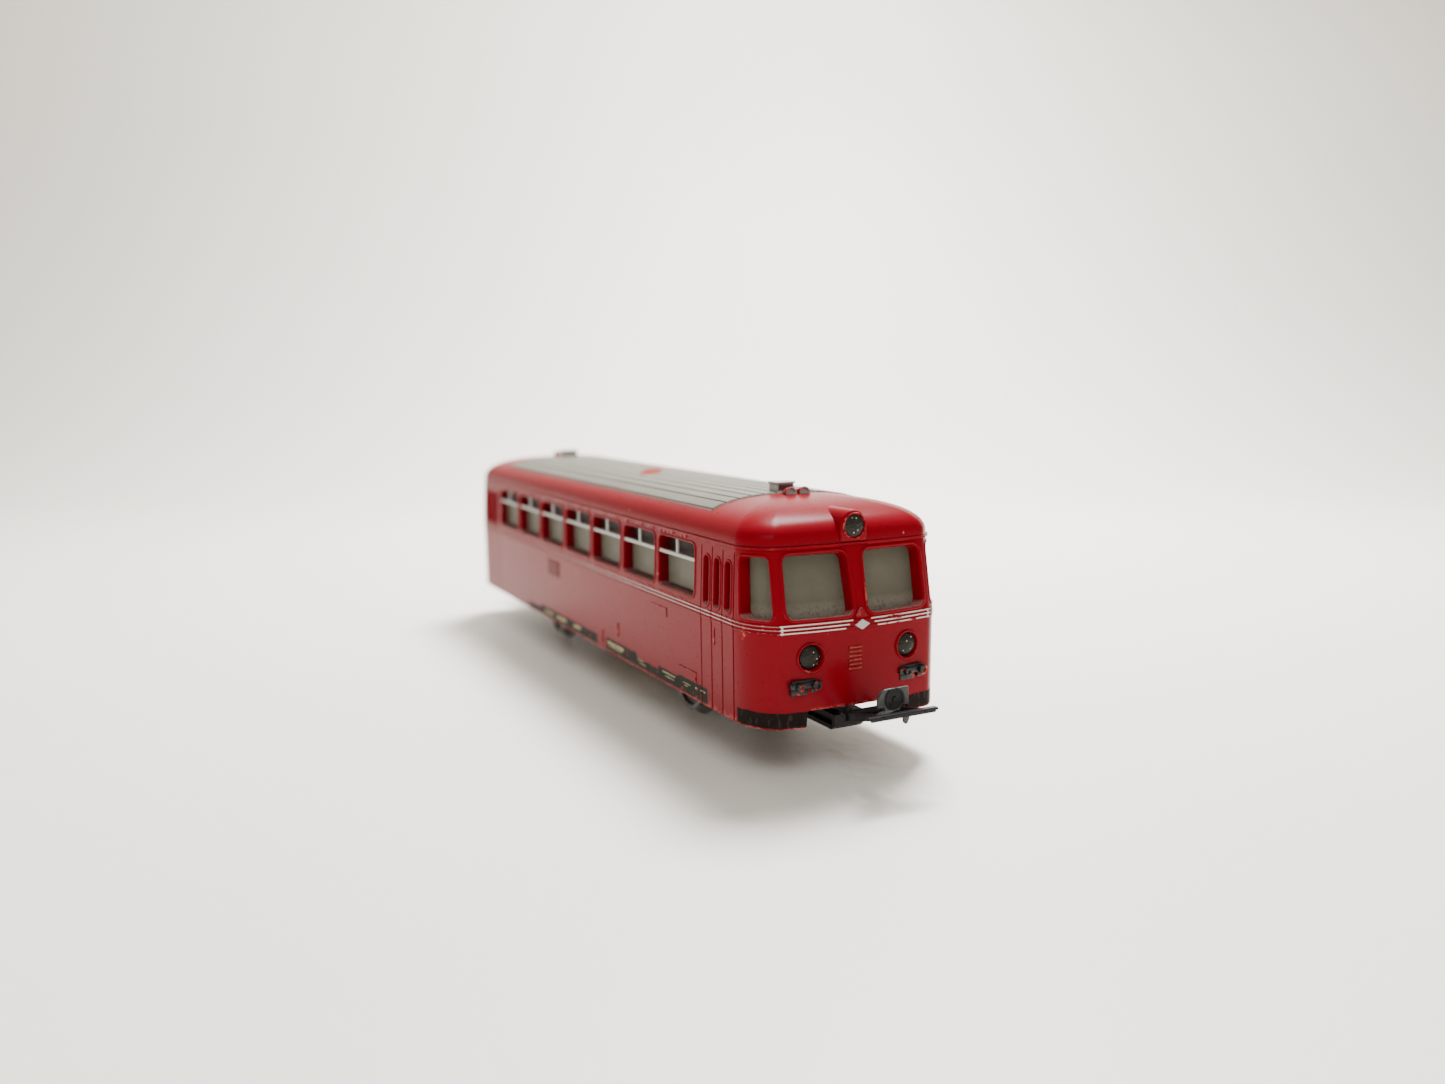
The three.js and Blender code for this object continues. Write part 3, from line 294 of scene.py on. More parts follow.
# ---- body surface: s runs round the plan, z up ----
def plan(s, z):
    """Plan position of the bare wall at distance s round the body and height z."""
    s = np.mod(np.asarray(s, float), GIRTH)
    z = np.asarray(z, float)
    quarter = np.floor(s / QUARTER).astype(int) % 4
    t = np.where(quarter % 2 == 0, s - quarter * QUARTER, (quarter + 1) * QUARTER - s)
    up = np.clip((z - BELT_Z) / (GUTTER_Z - BELT_Z), 0, 1)
    down = np.clip((BELT_Z - z) / (BELT_Z - SKIRT_Z), 0, 1)
    width = SIDE_Y - 0.35 * up - 0.1 * down
    crease_x = CREASE_X - 2.0 * up
    front_x = FRONT_X - 2.6 * up
    u = np.clip((t - CORNER_X) / CORNER_LENGTH, 0, 1)
    x_corner = (1 - u) ** 2 * CORNER_X + 2 * u * (1 - u) * (crease_x - 2.4) + u * u * crease_x
    y_corner = (1 - u) ** 2 * width + 2 * u * (1 - u) * (width - 0.15) + u * u * CREASE_Y
    v = np.clip((t - CORNER_X - CORNER_LENGTH) / FRONT_LENGTH, 0, 1)
    y_front = CREASE_Y * (1 - v)
    x_front = crease_x + (front_x - crease_x) * (1 - (y_front / CREASE_Y) ** 2)
    x = np.where(t <= CORNER_X, t, np.where(v > 0, x_front, x_corner))
    y = np.where(t <= CORNER_X, width, np.where(v > 0, y_front, y_corner))
    x = np.where(quarter >= 2, -x, x)
    y = np.where((quarter == 1) | (quarter == 2), -y, y)
    return x, y


def ridge(value, centre, half, soft):
    """1 within half of the centre, falling to 0 over soft beyond it."""
    return np.clip((half + soft - np.abs(value - centre)) / soft, 0, 1)


def side_x(s):
    """x on the flat sides, far away elsewhere."""
    s = np.mod(s, GIRTH)
    return np.where(s < QUARTER, s, np.where(s < 3 * QUARTER, 2 * QUARTER - s, s - GIRTH))


def relief(s, z):
    """Height of the moulded detail over the bare wall: belt lines, gutter and door grooves."""
    h = np.zeros(np.broadcast(s, z).shape)
    for trim in TRIM_Z:
        h = np.maximum(h, 0.1 * ridge(z, trim, 0.12, 0.07))
    h = np.maximum(h, 0.35 * ridge(z, GUTTER_LINE_Z, 0.14, 0.12))
    along = np.abs(side_x(s))
    for groove in DOOR_GROOVES:
        in_door = (z < DOOR_TOP_Z) & (h < 0.3)
        h = np.where(in_door, h - 0.28 * ridge(along, groove, 0.09, 0.1), h)
    return h


def wall_point(s, z, h=0.0, detail=True):
    """Point on the wall, h outwards from it."""
    step = 0.25
    x, y = plan(s, z)
    x0, y0 = plan(s - step, z)
    x1, y1 = plan(s + step, z)
    xa, ya = plan(s, z - step)
    xb, yb = plan(s, z + step)
    along = np.stack([x1 - x0, y1 - y0, np.zeros_like(x)], -1)
    upward = np.stack([xb - xa, yb - ya, np.full_like(x, 2 * step)], -1)
    normal = np.cross(upward, along)
    normal /= np.linalg.norm(normal, axis=-1, keepdims=True)
    height = h + (relief(s, z) if detail else 0)
    base = np.stack([x, y, np.broadcast_to(z, x.shape)], -1)
    return base + normal * np.asarray(height)[..., None]


def roof_point(s, g, inset=0.0):
    """Point on the roof: g runs from 1 at the gutter to 0 on the ridge."""
    base = wall_point(s, np.full_like(s, ROOF_START_Z), -inset, detail=False)
    beyond = np.maximum(0, np.abs(base[:, 0]) - PANEL_X)
    x = np.where(beyond > 0, np.sign(base[:, 0]) * (PANEL_X + beyond * g), base[:, 0])
    rise = ROOF_TOP_Z - ROOF_START_Z - inset
    z = ROOF_START_Z + rise * (1 - g ** ROOF_POWER) ** (1 / ROOF_POWER)
    return np.stack([x, base[:, 1] * g, np.full_like(x, z)], -1)


def roof_height(y):
    rise = ROOF_TOP_Z - ROOF_START_Z
    share = np.abs(y) / (SIDE_Y - 0.35)
    return ROOF_START_Z + rise * (1 - share ** ROOF_POWER) ** (1 / ROOF_POWER)


# ---- window and lamp openings ----
def to_s(kind, side, end, a):
    """Distance round the body of a place given along the side (x), the front (y) or the corner."""
    if kind == "side":
        return np.mod(a if side > 0 else 2 * QUARTER - a, GIRTH)
    if kind == "front":
        offset = FRONT_LENGTH * a / CREASE_Y
        return QUARTER - offset if end > 0 else 3 * QUARTER + offset
    quarter = {(1, 1): 0, (1, -1): 1, (-1, -1): 2, (-1, 1): 3}[(end, side)]
    return quarter * QUARTER + a if quarter % 2 == 0 else (quarter + 1) * QUARTER - a


class Opening:
    """A hole through the wall with a raised rim: outline(grow) gives its points as (s, z)."""

    def __init__(self, draw, kind, side, end, rim, rise):
        self.draw, self.kind, self.side, self.end = draw, kind, side, end
        self.rim, self.rise = rim, rise

    def outline(self, grow):
        local = self.draw(grow)
        s = np.mod(to_s(self.kind, self.side, self.end, local[:, 0]) - SEAM, GIRTH)
        points = np.stack([s, local[:, 1]], 1)
        after = np.roll(points, -1, 0)
        area = (points[:, 0] * after[:, 1] - after[:, 0] * points[:, 1]).sum()
        return points if area > 0 else points[::-1]


def openings():
    """Every hole in the body: side windows, door lights, corner windows, headlights, windscreens."""
    found = []

    def window(corners, radius, kind, side, end, rim, rise):
        found.append(Opening(lambda grow: rounded(corners, radius, grow), kind, side, end, rim, rise))

    def upright(x0, x1, z0, z1):
        return [(x0, z0), (x1, z0), (x1, z1), (x0, z1)]

    _, lamp_y, lamp_z = mm_centre("headlight_left_front")
    for side in (1, -1):
        for x in WINDOW_X:
            pane = upright(x - WINDOW_HALF, x + WINDOW_HALF, *WINDOW_Z)
            window(pane, 1.0, "side", side, 1, 0.42, 0.16)
        for end in (1, -1):
            for x in DOOR_SLOTS:
                slot = upright(end * x - DOOR_SLOT_HALF, end * x + DOOR_SLOT_HALF, LIGHT_FOOT_Z,
                               DOOR_SLOT_TOP_Z)
                window(slot, 0.86, "side", side, 1, 0.38, 0.16)
            corner = upright(CORNER_X + 1.7, CORNER_X + CORNER_LENGTH - 1.0, LIGHT_FOOT_Z,
                             CORNER_WINDOW_TOP_Z)
            window(corner, 0.9, "corner", side, end, 0.5, 0.16)
            found.append(Opening(lambda grow, y=side * lamp_y: circle((y, lamp_z), LAMP_HOLE_R, grow),
                                 "front", side, end, 0.42, 0.3))
            window([(side * y, z) for y, z in SCREEN], 1.2, "front", side, end, 0.58, 0.22)
    return found


def columns():
    """Distances round the body that carry a column of points."""
    t = list(np.arange(0, 54, 1.6))
    for groove in DOOR_GROOVES:
        t += [groove - 0.19, groove - 0.09, groove + 0.09, groove + 0.19]
    for slot, before, after in zip(DOOR_SLOTS, (1, 0.9, 0.9), (0.9, 0.9, 1)):
        t += [slot - before, slot, slot + after]
    t = np.array(sorted(t + list(np.arange(CORNER_X + 0.4, QUARTER + 0.01, 0.55))))
    s = np.concatenate([t, 2 * QUARTER - t, 2 * QUARTER + t, GIRTH - t])
    s = np.unique(np.round(np.append(np.mod(s - SEAM, GIRTH), 0.0), 4))
    keep = [s[0]]
    for value in s[1:]:
        if value - keep[-1] > 0.05:
            keep.append(value)
    return np.array(keep)


def rows():
    """Heights that carry a row of points."""
    z = [*np.arange(SKIRT_Z + 0.9, 22, 1.1), *np.arange(24.1, 34, 0.8)]
    for trim in TRIM_Z:
        z += [trim - 0.19, trim - 0.12, trim + 0.12, trim + 0.19]
    z += [GUTTER_LINE_Z - 0.26, GUTTER_LINE_Z - 0.14, GUTTER_LINE_Z + 0.14, GUTTER_LINE_Z + 0.26]
    return np.array(sorted(z))


def bottom_line(cols):
    """The lower edge, with the raised apron between the two corner skirts at each end."""
    half = FRONT_LENGTH * APRON_Y / CREASE_Y
    aprons = [np.mod(end * QUARTER - SEAM, GIRTH) + np.array([-half, half]) for end in (1, 3)]
    flank = ((-0.2, SKIRT_Z), (-0.02, SKIRT_Z + 0.25), (0, SKIRT_Z + 1.2), (0.1, APRON_Z - 0.3),
             (0.35, APRON_Z))
    line = [(s, SKIRT_Z) for s in cols if all(not a - 0.3 < s < b + 0.3 for a, b in aprons)]
    for a, b in aprons:
        line += [(a + step, z) for step, z in flank] + [(b - step, z) for step, z in flank]
        line += [(s, APRON_Z) for s in cols if a + 0.6 < s < b - 0.6]
    line.append((GIRTH, SKIRT_Z))
    return np.array(sorted(line, key=lambda p: p[0]))


def wall_patch(cols, holes, grow, bottom):
    """Triangles of the wall in the (s, z) plane, with the openings left out."""
    clearance, hole_reach = 0.22, 9
    cols = np.append(cols, GIRTH)
    line_z = np.interp(cols, bottom[:, 0], bottom[:, 1])
    level = rows()
    sides = [z for z in level if z > SKIRT_Z + 0.1]
    border = [tuple(p) for p in bottom] + [(GIRTH, z) for z in sides]
    border += [(s, ROOF_START_Z) for s in cols[::-1]] + [(0.0, z) for z in sides[::-1]]
    grid = np.array([(s, z) for s, low in zip(cols, line_z) for z in level
                     if z > low + 0.35 and 0.01 < s < GIRTH - 0.01])
    keep = np.ones(len(grid), bool)
    outlines = [hole.outline(grow(hole)) for hole in holes]
    for hole in holes:
        keep &= ~inside(grid, hole.outline(grow(hole) + clearance))
    points, edges = [], []
    for outline in (border, *outlines):
        first, n = len(points), len(outline)
        points += [Vector(p) for p in outline]
        edges += [(first + i, first + (i + 1) % n) for i in range(n)]
    points += [Vector(p) for p in grid[keep]]
    verts, _, faces, _, _, _ = delaunay_2d_cdt(points, edges, [], 0, 1e-5, False)
    verts = np.array([tuple(v) for v in verts])
    faces = np.array([f for f in faces if len(f) == 3])
    middle = verts[faces].mean(1)
    ok = inside(middle, np.array(border))
    for outline in outlines:
        near = (np.abs(middle[:, 0] - outline[:, 0].mean()) < hole_reach) & ok
        hit = np.zeros(len(middle), bool)
        hit[near] = inside(middle[near], outline)
        ok &= ~hit
    return verts, faces[ok]


def shell_mesh(material):
    """The moulding: outer and inner wall, rims of the openings, lower edge, outer and inner roof."""
    cols = columns()
    holes = openings()
    bottom = bottom_line(cols)
    verts, faces = [], []

    def put(points, tris):
        first = len(verts)
        verts.extend(points)
        faces.extend([tuple(first + i for i in t) for t in tris])

    outer_v, outer_f = wall_patch(cols, holes, lambda hole: hole.rim, bottom)
    put(wall_point(outer_v[:, 0] + SEAM, outer_v[:, 1]), outer_f)
    inner_v, inner_f = wall_patch(cols, holes, lambda hole: -0.06, bottom)
    put(wall_point(inner_v[:, 0] + SEAM, inner_v[:, 1], -WALL, detail=False), inner_f)
    for hole in holes:
        rim, rise = hole.rim, hole.rise
        o = hole.outline(rim)
        loops = [wall_point(o[:, 0] + SEAM, o[:, 1])]
        profile = [(rim * 0.9, rise * 0.55), (rim * 0.72, rise * 0.92), (rim * 0.5, rise),
                   (rim * 0.28, rise * 0.92), (rim * 0.08, rise * 0.5), (0, 0), (-0.02, -0.35),
                   (-0.05, -1.2), (-0.06, -WALL)]
        for grow, h in profile:
            o = hole.outline(grow)
            loops.append(wall_point(o[:, 0] + SEAM, o[:, 1], h, detail=False))
        put(np.concatenate(loops), strip(loops))
    edge_out = wall_point(bottom[:, 0] + SEAM, bottom[:, 1])
    edge_in = wall_point(bottom[:, 0] + SEAM, bottom[:, 1], -WALL, detail=False)
    put(np.concatenate([edge_out, edge_in]), strip([edge_out, edge_in], closed=False))
    ring_s = np.append(cols, GIRTH) + SEAM
    angles = np.linspace(0, math.pi / 2, 30)
    for inset in (0.0, WALL):
        rings = [roof_point(ring_s, max(0.0, math.cos(a)) ** (2 / ROOF_POWER), inset) for a in angles]
        put(np.concatenate(rings), strip(rings, closed=False))
    return new_object("body_shell_fine", verts, faces, [material], merge=2e-3)


# ---- material helpers: arithmetic on shader sockets ----
class Sockets:
    """Builds node arithmetic in one material."""

    def __init__(self, name):
        self.material = bpy.data.materials.new(name)
        self.material.use_nodes = True
        self.nodes = self.material.node_tree.nodes
        self.links = self.material.node_tree.links
        self.bsdf = self.nodes["Principled BSDF"]
        coords = self.nodes.new("ShaderNodeTexCoord")
        scale = self.nodes.new("ShaderNodeVectorMath")
        scale.operation = "SCALE"
        scale.inputs["Scale"].default_value = 1 / MM
        self.links.new(coords.outputs["Object"], scale.inputs[0])
        self.place = scale.outputs[0]
        self.x, self.y, self.z = self.split(self.place)
        geometry = self.nodes.new("ShaderNodeNewGeometry")
        turn = self.nodes.new("ShaderNodeVectorTransform")
        turn.vector_type = "NORMAL"
        turn.convert_from, turn.convert_to = "WORLD", "OBJECT"
        self.links.new(geometry.outputs["Normal"], turn.inputs[0])
        self.nz = self.split(turn.outputs[0])[2]
        self.pointiness = Value(self, geometry.outputs["Pointiness"])

    def split(self, vector):
        node = self.nodes.new("ShaderNodeSeparateXYZ")
        self.links.new(vector, node.inputs[0])
        return [Value(self, output) for output in node.outputs]

    def math(self, operation, *values, clamp=False):
        node = self.nodes.new("ShaderNodeMath")
        node.operation = operation
        node.use_clamp = clamp
        for socket, value in zip(node.inputs, values):
            self.put(value, socket)
        return Value(self, node.outputs[0])

    def texture(self, kind, scale, offset, stretch=(1, 1, 1)):
        mapping = self.nodes.new("ShaderNodeMapping")
        self.links.new(self.place, mapping.inputs[0])
        mapping.inputs["Location"].default_value = offset
        mapping.inputs["Scale"].default_value = stretch
        node = self.nodes.new(kind)
        node.inputs["Scale"].default_value = scale
        self.links.new(mapping.outputs[0], node.inputs["Vector"])
        return node

    def noise(self, scale, detail=3.0, roughness=0.55, offset=(0, 0, 0), stretch=(1, 1, 1)):
        """Noise of about 1 / scale millimetres, from 0 to 1."""
        node = self.texture("ShaderNodeTexNoise", scale, offset, stretch)
        node.inputs["Detail"].default_value = detail
        node.inputs["Roughness"].default_value = roughness
        return Value(self, node.outputs[0])

    def cells(self, scale, offset=(0, 0, 0)):
        """Distance to the middle of each of many small cells."""
        return Value(self, self.texture("ShaderNodeTexVoronoi", scale, offset).outputs["Distance"])

    def put(self, value, socket):
        if isinstance(value, Value):
            self.links.new(value.socket, socket)
        else:
            socket.default_value = value

    def mix(self, mask, a, b):
        node = self.nodes.new("ShaderNodeMix")
        node.data_type = "RGBA"
        self.links.new(mask.socket, node.inputs["Factor"])
        for socket, colour in ((node.inputs[6], a), (node.inputs[7], b)):
            self.put(colour if isinstance(colour, Value) else (*colour, 1), socket)
        return Value(self, node.outputs[2])

    def layer(self, colour, *coats):
        """The colour with each coat's paint over it where the coat's mask is 1."""
        for mask, paint in coats:
            colour = self.mix(mask, colour, paint)
        return colour

    def set(self, name, value):
        self.put(value, self.bsdf.inputs[name])

    def finish(self, colour, roughness, specular):
        """Sets the surface and returns the material."""
        self.set("Base Color", colour)
        self.set("Roughness", roughness)
        self.set("Specular IOR Level", specular)
        return self.material

    def bump(self, height, strength=0.3, distance=0.1):
        node = self.nodes.new("ShaderNodeBump")
        node.inputs["Strength"].default_value = strength
        node.inputs["Distance"].default_value = distance * MM
        self.links.new(height.socket, node.inputs["Height"])
        self.links.new(node.outputs[0], self.bsdf.inputs["Normal"])


class Value:
    """A number or colour in a material, with arithmetic and masks."""

    def __init__(self, owner, socket):
        self.owner, self.socket = owner, socket

    def __add__(self, other):
        return self.owner.math("ADD", self, other)

    def __sub__(self, other):
        return self.owner.math("SUBTRACT", self, other)

    def __mul__(self, other):
        return self.owner.math("MULTIPLY", self, other)

    def above(self, limit, soft=0.03):
        """1 where this value is over the limit, 0 below it."""
        return self.owner.math("MULTIPLY_ADD", self, 1 / (2 * soft), 0.5 - limit / (2 * soft),
                               clamp=True)

    def above_value(self, other, soft=0.03):
        return (self - other).above(0, soft)

    def below(self, limit, soft=0.03):
        return self.owner.math("MULTIPLY_ADD", self, -1 / (2 * soft), 0.5 + limit / (2 * soft),
                               clamp=True)

    def between(self, lo, hi, soft=0.03):
        return self.above(lo, soft) * self.below(hi, soft)

    def inverse(self):
        return self.owner.math("SUBTRACT", 1.0, self)

    def size(self):
        return self.owner.math("ABSOLUTE", self)

    def most(self, other):
        return self.owner.math("MAXIMUM", self, other)

    def spread(self, lo, hi):
        """Scales 0..1 to lo..hi."""
        return self.owner.math("MULTIPLY_ADD", self, hi - lo, lo)


RED = (0.192, 0.0018, 0.0085)
RED_DEEP = (0.15, 0.0012, 0.0055)
RED_CHIP = (0.36, 0.012, 0.006)
SILVER = (0.62, 0.60, 0.56)
SOLEBAR = (0.022, 0.024, 0.02)
SOOT = (0.012, 0.008, 0.0075)
CREAM = (0.50, 0.42, 0.24)

# Dark band: start, stop and top of each step; start, stop, foot and top of each pale dash.
SOLEBAR_STEPS = ((-33, -24, 9.7), (-24, 9.7, 10.4), (14.2, 28.7, 10.75), (28.7, 38, 10.0), (38, 46, 10.6),
                 (46, 56.6, 10.95))
SOLEBAR_DASHES = ((15, 22.6, 9.7, 10.2), (15.6, 21.8, 9.3, 9.5), (29.2, 31.6, 9.7, 9.85),
                  (29.6, 32.6, 9.2, 9.32), (39.6, 44.6, 9.95, 10.12), (40.8, 44.2, 9.4, 9.52),
                  (47.6, 50.4, 10.0, 10.1), (48.2, 49.6, 9.6, 9.7), (52.2, 52.9, 10.0, 10.3),
                  (54.0, 55.8, 10.1, 10.25), (-3.5, 0.5, 9.3, 9.9),
                  (-14, -8, 9.2, 9.7), (-21.5, -16, 9.2, 9.6))


def trim_mask(m):
    """The three silver lines, rubbed thin on the sides and corners and here and there elsewhere."""
    lines = functools.reduce(Value.most, [
        m.z.between(trim - 0.1, trim + 0.08, 0.03) * m.y.size().above(inner, 0.05)
        for trim, inner in zip(TRIM_Z, TRIM_INNER_Y)])
    thin = functools.reduce(Value.most, [
        m.z.between(trim - 0.13, trim - 0.01, 0.02) for trim in TRIM_Z[:2]])
    on_front = m.x.size().above(CREASE_X - 0.4, 0.1) * m.y.size().below(CREASE_Y + 0.1, 0.05)
    on_side = m.x.size().below(CORNER_X + 0.6, 0.2)
    worn = m.noise(0.5, 4, 0.7, (3, 1, 7), (1, 1, 3))
    fine = m.noise(2.2, 3, 0.6, (9, 4, 2), (1, 1, 2))
    far_side = (m.x * m.y).above(0, 0.5)
    front_keep = on_front * worn.above_value(far_side.spread(0.33, 0.41), 0.02)
    side_keep = on_side * worn.above(0.36, 0.04) * thin * m.x.above(-4, 30)
    rubbed = (fine.above(0.62, 0.04) * 0.5).most(thin * 0.4)
    corner_keep = on_front.inverse() * on_side.inverse() * rubbed
    end_bar = on_front * m.y.size().between(CREASE_Y - 0.4, CREASE_Y - 0.12, 0.04)
    end_bar = end_bar * m.z.between(22.2, 23.4, 0.05) * fine.above(0.4, 0.04)
    kept = front_keep.most(side_keep).most(corner_keep)
    return (lines * kept).most(end_bar) * m.nz.size().below(0.85, 0.1)


def solebar_mask(m):
    """Dark band along the foot of the sides, with a stepped, chipped upper edge."""
    edge = m.noise(1.4, 4, 0.65, (2, 8, 1)).spread(-0.35, 0.35)
    for start, stop, top in SOLEBAR_STEPS:
        edge = edge + m.x.between(start, stop, 0.12) * top
    below = edge.above_value(m.z, 0.06) * m.z.above(SKIRT_Z + 0.3, 0.08)
    chips = m.noise(0.55, 4, 0.7, (7, 7, 3)).above(0.36, 0.03)
    return below * m.y.size().above(SIDE_Y - 0.45, 0.1) * chips


def solebar_dashes(m):
    """Short pale dashes and one worn pale block on the dark band, with no lettering."""
    worn = m.noise(3.0, 3, 0.7, (5, 2, 2)).above(0.42, 0.05)
    dashes = [m.x.between(start, stop, 0.05) * m.z.between(low, high, 0.04)
              for start, stop, low, high in SOLEBAR_DASHES]
    return functools.reduce(Value.most, dashes) * worn * m.y.size().above(SIDE_Y - 0.45, 0.1)


def skirt_mask(m):
    """Black corner skirts."""
    ragged = m.noise(0.8, 4, 0.6, (4, 2, 6))
    below = (ragged.spread(APRON_Z - 0.35, APRON_Z + 0.25)).above_value(m.z, 0.06)
    along = m.x.size().above(CORNER_X + 0.9, 0.15)
    return below * along * m.z.above_value(ragged.spread(SKIRT_Z, SKIRT_Z + 0.35), 0.05)


def painted_red():
    """Red moulding with its printed lines, dark band and black skirts, worn on edges and sills; with painted
    shade in the window reveals and on the side hatch, a painted highlight on the louvre slat tips, and pale
    edges that are partly a painted highlight.
    """
    m = Sockets("red_shell")
    broad = m.noise(0.05, 3, 0.5, (1, 2, 3))
    grain = m.noise(1.5, 4, 0.6, (6, 2, 9))
    plate = m.x.between(-18.2, -11.5, 0.1) * m.z.between(18.0, 21.4, 0.1) * m.nz.size().below(0.5, 0.1)
    # pale edges: paint worn off the edges, and in part a painted highlight along the window rims
    edge = m.pointiness.above(0.565, 0.02) * grain.above(0.52, 0.06) * plate.inverse()
    sill = m.nz.above(0.6, 0.2) * m.z.below(26, 0.3) * m.z.above(23.9, 0.2)
    # painted shade: the inner faces of the side window openings are darkened where shade falls
    reveal_shade = m.y.size().below(SIDE_Y - 0.45, 0.1) * m.x.size().below(PANEL_X, 0.1)
    # painted highlight: the front tips of the louvre slats are lightened as if lit from above
    slats = m.x.size().above(FRONT_X + 0.16, 0.05) * m.z.between(15.8, 20, 0.1)
    silver, sole, skirt = trim_mask(m), solebar_mask(m), skirt_mask(m)
    scratched = m.noise(1.2, 4, 0.7, (3, 9, 4), (1, 1, 0.3)).above(0.6, 0.04)
    speck = m.cells(0.3, (2, 5, 8)).below(0.05, 0.02) * m.noise(0.4, 2, 0.5).above(0.56, 0.02)
    colour = m.layer(
        m.mix(broad.spread(-0.1, 0.7), RED, RED_DEEP),
        # pale edges: edge wear and a painted highlight
        (edge * 0.6, (0.55, 0.12, 0.1)),
        (sill * grain.spread(0, 0.7), (0.42, 0.30, 0.26)),
        # painted shade in the window reveals
        (reveal_shade * m.z.between(24.6, 33.4, 0.1) * 0.45, (0.02, 0.0005, 0.001)),
        # painted shade: the hatch plate is darkened where it shows less reflection than the wall
        (plate * 0.55, (0.05, 0.004, 0.005)),
        # painted highlight on the louvre slat tips
        (slats * m.y.size().below(2.6, 0.1) * 0.5, (0.5, 0.1, 0.08)),
        (silver, SILVER),
        (sole, SOLEBAR),
        (sole * solebar_dashes(m), CREAM),
        (skirt, m.mix(scratched * 0.3, SOOT, (0.09, 0.05, 0.045))),
        (speck * 0.6, (0.6, 0.3, 0.25)))
    dark = sole.most(skirt)
    height = grain * 0.15 + m.noise(7, 3, 0.6, (1, 1, 1)) * 0.06 + silver * 0.4 + dark * 0.3
    m.bump(height, 0.12, 0.05)
    shine = m.nz.above(0.45, 0.3) * -0.035 + 0.06
    return m.finish(colour, grain.spread(0.24, 0.34) + dark * 0.2 + silver * 0.15,
                    shine * dark.most(plate).spread(1.0, 0.4))


def plain(name, colour, rough, metal=0.0, dark=None, grain=2.0, bump=0.15, specular=0.5):
    """A material with broad colour variation and fine grain."""
    m = Sockets(name)
    broad = m.noise(0.2, 4, 0.6, (3, 3, 1))
    fine = m.noise(grain, 4, 0.6, (5, 1, 2))
    m.set("Metallic", metal)
    m.bump(fine, bump, 0.04)
    deep = dark or tuple(c * 0.55 for c in colour)
    return m.finish(m.mix(broad.spread(0, 0.8), colour, deep), fine.spread(rough - 0.1, rough + 0.1),
                    specular)


def glazing_material():
    """Frosted smoky moulding, streaked, with dust along the sill."""
    m = Sockets("glazing")
    cloud = m.noise(0.18, 4, 0.6, (4, 9, 2))
    streak = m.noise(0.8, 3, 0.6, (1, 2, 3), (1, 1, 0.2))
    dust = m.z.below(25.6, 0.7) * m.noise(1.6, 4, 0.7, (8, 2, 5)).above(0.4, 0.1)
    colour = m.layer(m.mix(cloud.spread(0, 0.9), (0.118, 0.11, 0.08), (0.075, 0.07, 0.053)),
                     (dust * 0.45, (0.30, 0.26, 0.21)))
    m.bump(streak * 0.6 + m.noise(5, 3, 0.6) * 0.4, 0.12, 0.05)
    return m.finish(colour, streak.spread(0.34, 0.55), 0.15)


def dark_inside_shade_material():
    """Near-black upper lights: painted shade standing for the dark inside seen through the clearer upper
    glass.
    """
    m = Sockets("upper_pane_painted_shade")
    cloud = m.noise(0.3, 4, 0.6, (4, 1, 2))
    m.bump(m.noise(3, 3, 0.6), 0.08, 0.05)
    colour = m.mix(cloud, (0.012, 0.004, 0.004), (0.03, 0.014, 0.012))
    return m.finish(colour, cloud.spread(0.4, 0.55), 0.12)


def roof_material():
    """Silver-grey planked roof paint with streaks along it, one large chip down to red, and painted shade in
    the plank grooves.
    """
    m = Sockets("grey_roof_paint")
    streak = m.noise(0.5, 4, 0.6, (2, 2, 2), (0.08, 1.5, 1))
    cloud = m.noise(0.12, 3, 0.5, (7, 7, 7))
    fine = m.noise(2.5, 4, 0.6, (1, 6, 3))
    along = m.x * 0.88 - m.y * 0.48
    across = m.x * 0.48 + m.y * 0.88
    chip = along.between(-3.9, 9.8, 0.4) * across.between(-2.3, 1.6, 0.3)
    chip = chip * m.noise(0.35, 4, 0.6, (4, 4, 4)).above(0.36, 0.02)
    stain = m.noise(0.3, 4, 0.7, (6, 9, 1)).above(0.68, 0.04) * 0.5
    # painted shade: the plank grooves are darkened where shade falls in them
    groove = m.math("PINGPONG", m.y, PLANK_PITCH / 2).below(0.17, 0.05) * m.y.size().below(12, 0.1)
    colour = m.layer(
        m.mix(streak.spread(0, 0.8), (0.148, 0.139, 0.108), (0.105, 0.098, 0.076)),
        (cloud.above(0.62, 0.15) * 0.3, (0.2, 0.19, 0.155)),
        (chip, (0.24, 0.007, 0.004)),
        (stain, (0.06, 0.052, 0.045)),
        # painted shade in the plank grooves
        (groove * 0.95, (0.02, 0.017, 0.015)))
    m.bump(fine * 0.5 + streak * 0.5, 0.2, 0.06)
    return m.finish(colour, fine.spread(0.38, 0.55), chip.spread(0.12, 0.02))


def chipped_black():
    """Black paint that shows the red moulding through its chips."""
    m = Sockets("black_paint_chipped")
    fine = m.noise(2.2, 4, 0.65, (4, 4, 2))
    torn = m.noise(0.9, 4, 0.6, (1, 7, 3)).above(0.595, 0.015)
    colour = m.layer(m.mix(fine.spread(0, 0.5), (0.006, 0.006, 0.006), (0.02, 0.018, 0.018)),
                     (torn, RED_CHIP))
    m.bump(fine, 0.35, 0.08)
    return m.finish(colour, fine.spread(0.18, 0.45), 0.3)


def lens_material():
    """Dark pressed glass with pale specks."""
    m = Sockets("lamp_lens_fine")
    cloud = m.noise(0.9, 4, 0.6, (3, 2, 6))
    speck = m.cells(1.5, (4, 2, 1)).below(0.2, 0.04)
    colour = m.layer(m.mix(cloud, (0.03, 0.026, 0.019), (0.007, 0.006, 0.005)),
                     (speck * 0.6, (0.5, 0.48, 0.42)))
    m.bump(m.cells(2.4, (1, 1, 1)), 0.45, 0.15)
    return m.finish(colour, 0.22, 0.12)


